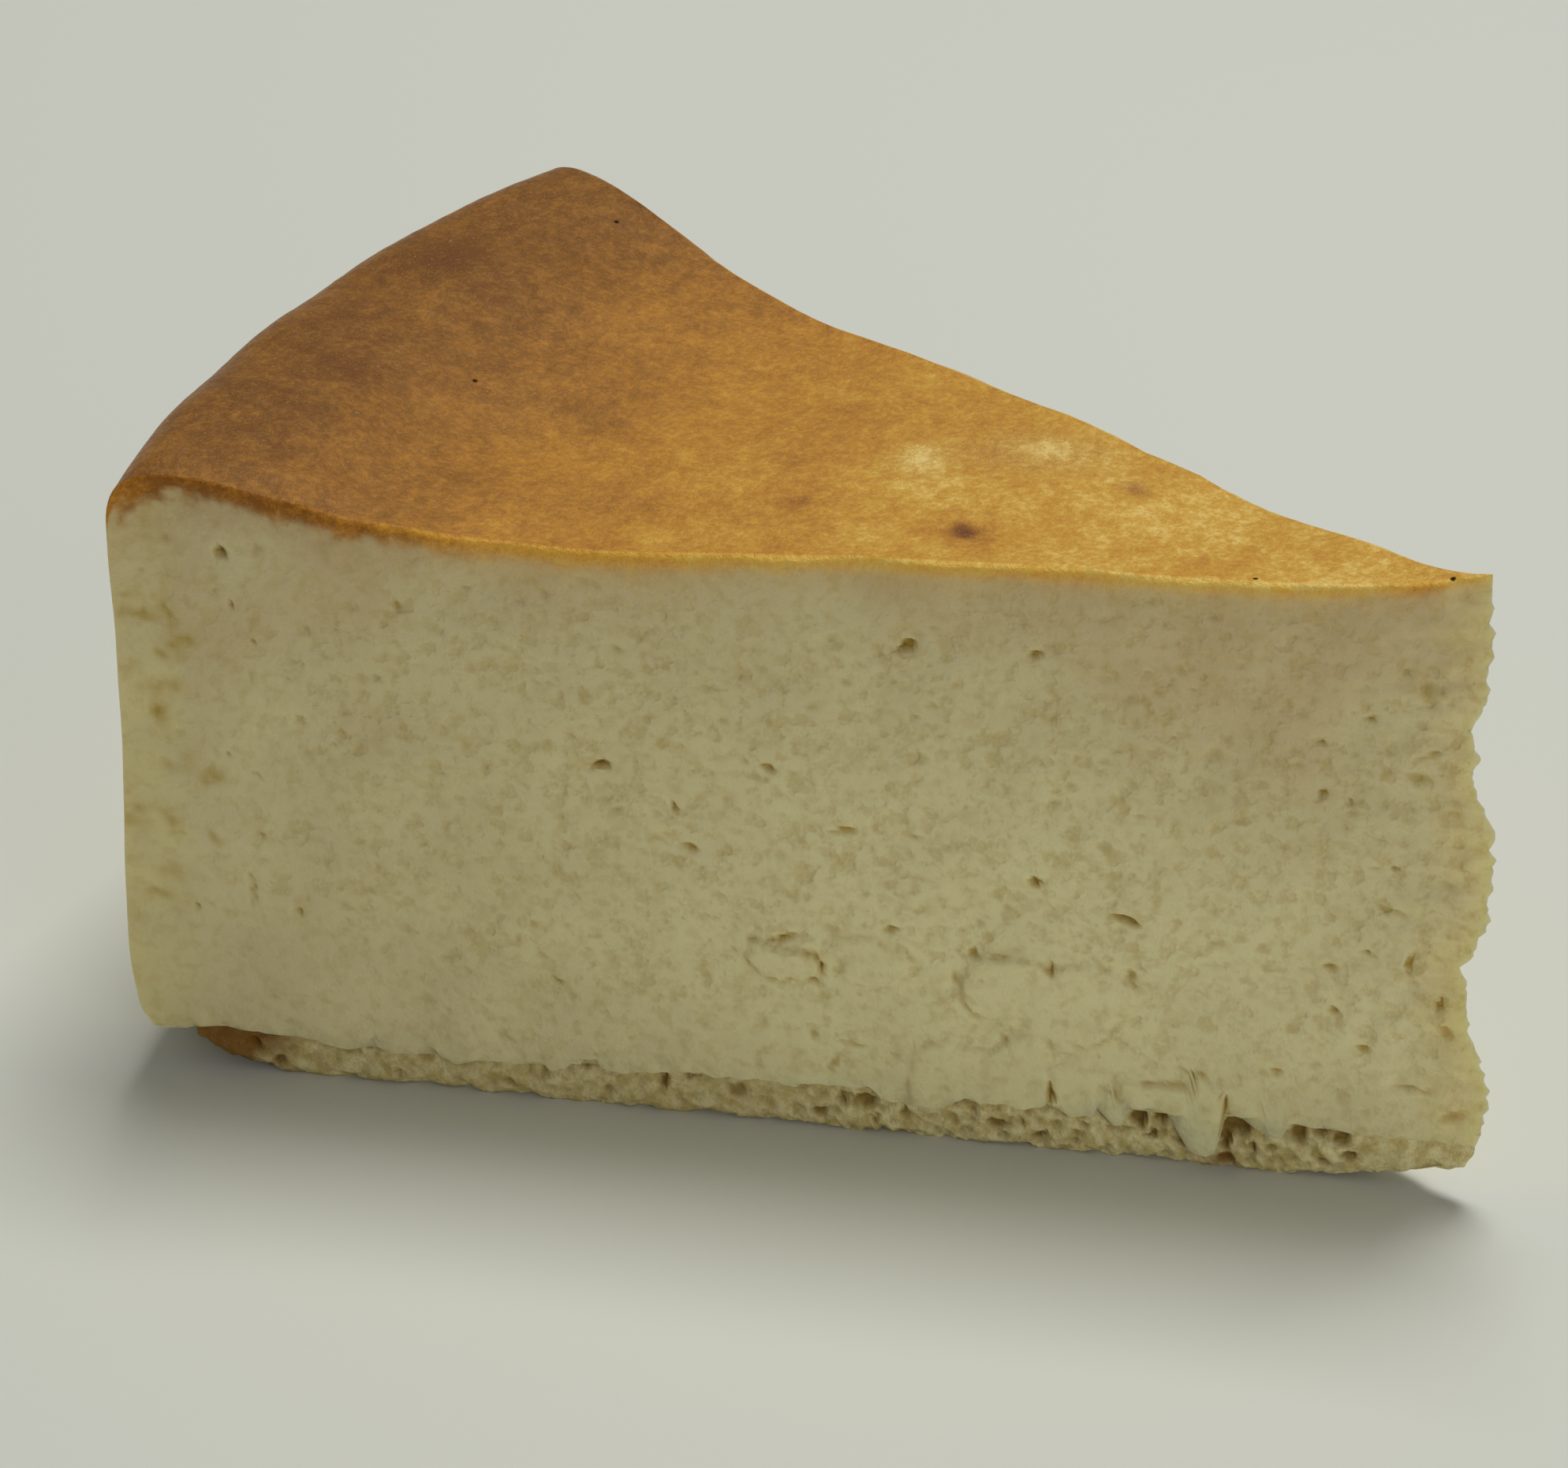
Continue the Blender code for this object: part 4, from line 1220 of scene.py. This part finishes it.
def floor_material(colours):
    """Plain pale matt floor."""
    nodes = Nodes("studio_floor")
    nodes.fill(nodes.shader, {"Base Color": opaque(colours.floor), "Roughness": 0.8,
                              "Specular IOR Level": 0.2})
    return nodes.material


def make_floor(material):
    """A wide round floor at the slice's foot."""
    mesh = bmesh.new()
    bmesh.ops.create_circle(mesh, cap_ends=True, segments=96, radius=FLOOR_RADIUS)
    data = bpy.data.meshes.new("studio_floor")
    mesh.to_mesh(data)
    mesh.free()
    data.materials.append(material)
    floor = add_object("studio_floor", data)


def make_camera():
    """The camera at the place that the slice's outline in the picture gives."""
    heading, pitch, roll = CAMERA_HEADING, CAMERA_PITCH, CAMERA_ROLL
    forward = np.array((math.sin(heading) * math.cos(pitch), math.cos(heading) * math.cos(pitch),
                        -math.sin(pitch)))
    level_right = np.array((math.cos(heading), -math.sin(heading), 0.0))
    level_down = np.cross(forward, level_right)
    right = level_right * math.cos(roll) + level_down * math.sin(roll)
    down = level_down * math.cos(roll) - level_right * math.sin(roll)
    data = bpy.data.cameras.new("camera")
    data.sensor_width = SENSOR_WIDTH
    data.lens = SENSOR_WIDTH * FOCAL_PIXELS / PICTURE_WIDTH
    data.clip_end = 20.0
    camera = add_object("camera", data)
    stand(camera, np.array(CAMERA_PLACE) + (TIP_X, 0.0, 0.0), right, -down, -forward)
    bpy.context.scene.camera = camera


def make_light(name, place, size, power, colour):
    """A soft rectangular light that looks at the slice: place and size in metres, power in watts."""
    data = bpy.data.lights.new(name, "AREA")
    data.shape = "RECTANGLE"
    data.size, data.size_y = size
    data.energy = power
    data.color = colour
    look = np.array(LIGHT_AIM, float) - np.array(place, float)
    ahead = look / np.linalg.norm(look)
    right = np.cross(ahead, (0.0, 0.0, 1.0))
    right = right / np.linalg.norm(right)
    stand(add_object(name, data), place, right, np.cross(right, ahead), -ahead)


def make_lights():
    """A soft key from above and behind, a weak fill beyond the tip, and a dim even sky."""
    world = bpy.data.worlds.new("studio_sky")
    world.use_nodes = True
    sky = world.node_tree.nodes["Background"]
    sky.inputs["Color"].default_value = opaque(SKY_COLOUR)
    sky.inputs["Strength"].default_value = SKY_STRENGTH
    bpy.context.scene.world = world
    make_light("key_light", *KEY_LIGHT)
    make_light("fill_light", *FILL_LIGHT)


def length_property(name, description, default, low, high):
    """A length in metres, with its default and its limits."""
    return bpy.props.FloatProperty(name=name, description=description, default=default, min=low, max=high,
                                   unit="LENGTH", subtype="DISTANCE", precision=5)


class CheesecakeSizes(bpy.types.PropertyGroup):
    cake_radius: length_property(
        "Cake radius", "From the cake's middle to its outer wall", 0.114, 0.05, 0.2)
    slice_angle: bpy.props.FloatProperty(
        name="Slice angle", description="Angle between the two cuts",
        default=math.radians(36), min=0.1, max=1.6, subtype="ANGLE")
    shoulder_width: length_property(
        "Shoulder width", "How far in from the wall the top starts to round over", 0.0054, 0.001, 0.02)
    shoulder_drop: length_property(
        "Shoulder drop", "How far the rounded shoulder falls", 0.0048, 0.001, 0.02)
    crest_round: length_property(
        "Crest rounding", "Radius of the edge between the top and a cut", 0.00048, 0.0001, 0.003)
    top_unevenness: length_property(
        "Top unevenness", "Height of the slow waves in the top", 0.00022, 0.0, 0.002)
    cut_unevenness: length_property(
        "Cut unevenness", "Height of the slow waves in the cuts", 0.00016, 0.0, 0.002)


def colour_property(name, description, default):
    """A linear colour with its default."""
    return bpy.props.FloatVectorProperty(name=name, description=description, default=default, size=3,
                                         min=0.0, max=1.0, subtype="COLOR")


class CheesecakeColours(bpy.types.PropertyGroup):
    # Cream, deep cream and warm cream are the stops of the filling's painted shade, palest low in the middle
    # and deepest high up; the warm cream is also the real tint just below the skin
    cream: colour_property("Cream", "Palest filling, low in the middle", (0.87, 0.795, 0.445))
    cream_painted_shade: colour_property("Deep cream", "Filling towards the top and wall", (0.72, 0.625, 0.35))
    cream_warm: colour_property("Warm cream", "Filling just below the top", (0.65, 0.51, 0.27))
    # Rind colour: the dense rind's own yellow, also used as a painted glow of light through the thin tip
    rind: colour_property("Rind", "Denser filling by the wall and tip", (0.78, 0.68, 0.32))
    # Colour of the painted shade in pits, hollows, the torn seam and along raised sheet edges
    hollow: colour_property("Hollow", "Inside the pits and hollows", (0.50, 0.34, 0.065))
    skin_pale: colour_property("Pale skin", "Least baked skin", (0.92, 0.67, 0.21))
    skin_golden: colour_property("Golden skin", "Skin by the tip", (0.68, 0.385, 0.055))
    skin_amber: colour_property("Amber skin", "Skin in the middle", (0.56, 0.255, 0.032))
    skin_brown: colour_property("Brown skin", "Skin towards the rim", (0.40, 0.172, 0.024))
    skin_dark: colour_property("Dark skin", "Skin near the rim", (0.26, 0.107, 0.014))
    skin_darkest: colour_property("Darkest skin", "Skin at the rim", (0.19, 0.070, 0.008))
    edge_pale: colour_property("Pale skin edge", "Cut edge of the palest skin", (0.88, 0.65, 0.17))
    edge_golden: colour_property("Golden skin edge", "Cut edge of the golden skin", (0.86, 0.53, 0.085))
    edge_amber: colour_property("Amber skin edge", "Cut edge of the amber skin", (0.80, 0.40, 0.045))
    edge_brown: colour_property("Brown skin edge", "Cut edge of the brown skin", (0.56, 0.232, 0.020))
    edge_dark: colour_property("Dark skin edge", "Cut edge of the darkest skin", (0.30, 0.105, 0.006))
    mark: colour_property("Dark mark", "Dark spots on the skin", (0.15, 0.035, 0.012))
    # Painted shade inside the tiny pin holes
    pin_hole_shade: colour_property("Pin hole", "Tiny holes in the skin", (0.04, 0.015, 0.003))
    sponge: colour_property("Sponge", "Light crumb", (0.90, 0.80, 0.44))
    sponge_shade: colour_property("Sponge shade", "Darker crumb", (0.66, 0.54, 0.22))
    # Painted shade inside the sponge's cavities
    sponge_cavity_shade: colour_property("Sponge cavity", "Inside the sponge's cavities", (0.27, 0.165, 0.03))
    toasted: colour_property("Toasted sponge", "Outer end of the sponge", (0.23, 0.095, 0.008))
    floor: colour_property("Floor", "Studio floor", (0.71, 0.725, 0.67))


class CHEESECAKE_OT_filling(bpy.types.Operator):
    """Make the baked filling with its browned top"""
    bl_idname = "cheesecake.filling"
    bl_label = "Baked filling"

    def execute(self, context):
        form = Slice(context.scene.cheesecake_sizes)
        piece = make_filling(form, filling_material(form, context.scene.cheesecake_colours))
        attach(piece, "root")
        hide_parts("filling")
        return {"FINISHED"}


class CHEESECAKE_OT_sponge(bpy.types.Operator):
    """Make the sponge base"""
    bl_idname = "cheesecake.sponge"
    bl_label = "Sponge base"

    def execute(self, context):
        form = Slice(context.scene.cheesecake_sizes)
        piece = make_sponge(form, sponge_material(context.scene.cheesecake_colours))
        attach(piece, "root")
        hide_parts("sponge_base")
        return {"FINISHED"}


class CHEESECAKE_OT_studio(bpy.types.Operator):
    """Make the floor, lights and camera"""
    bl_idname = "cheesecake.studio"
    bl_label = "Studio"

    def execute(self, context):
        make_floor(floor_material(context.scene.cheesecake_colours))
        make_lights()
        make_camera()
        context.scene.view_settings.view_transform = "Standard"
        return {"FINISHED"}


class CHEESECAKE_PT_panel(bpy.types.Panel):
    """Lists the pieces of the slice"""
    bl_idname = "CHEESECAKE_PT_panel"
    bl_label = "Cheesecake"
    bl_space_type = "VIEW_3D"
    bl_region_type = "UI"
    bl_category = "Cheesecake"

    def draw(self, context):
        column = self.layout.column()
        for operator in OPERATORS:
            column.operator(operator.bl_idname)
        for group in (context.scene.cheesecake_sizes, context.scene.cheesecake_colours):
            for name in group.bl_rna.properties.keys():
                if name not in {"rna_type", "name"}:
                    column.prop(group, name)


OPERATORS = (CHEESECAKE_OT_studio, CHEESECAKE_OT_filling, CHEESECAKE_OT_sponge)
CLASSES = (CheesecakeSizes, CheesecakeColours, *OPERATORS, CHEESECAKE_PT_panel)


def register():
    for one in CLASSES:
        bpy.utils.register_class(one)
    bpy.types.Scene.cheesecake_sizes = bpy.props.PointerProperty(type=CheesecakeSizes)
    bpy.types.Scene.cheesecake_colours = bpy.props.PointerProperty(type=CheesecakeColours)


def unregister():
    del bpy.types.Scene.cheesecake_colours
    del bpy.types.Scene.cheesecake_sizes
    for one in reversed(CLASSES):
        bpy.utils.unregister_class(one)


def main():
    register()
    bpy.ops.cheesecake.studio()
    bpy.ops.cheesecake.filling()
    bpy.ops.cheesecake.sponge()


if __name__ == "__main__":
    main()
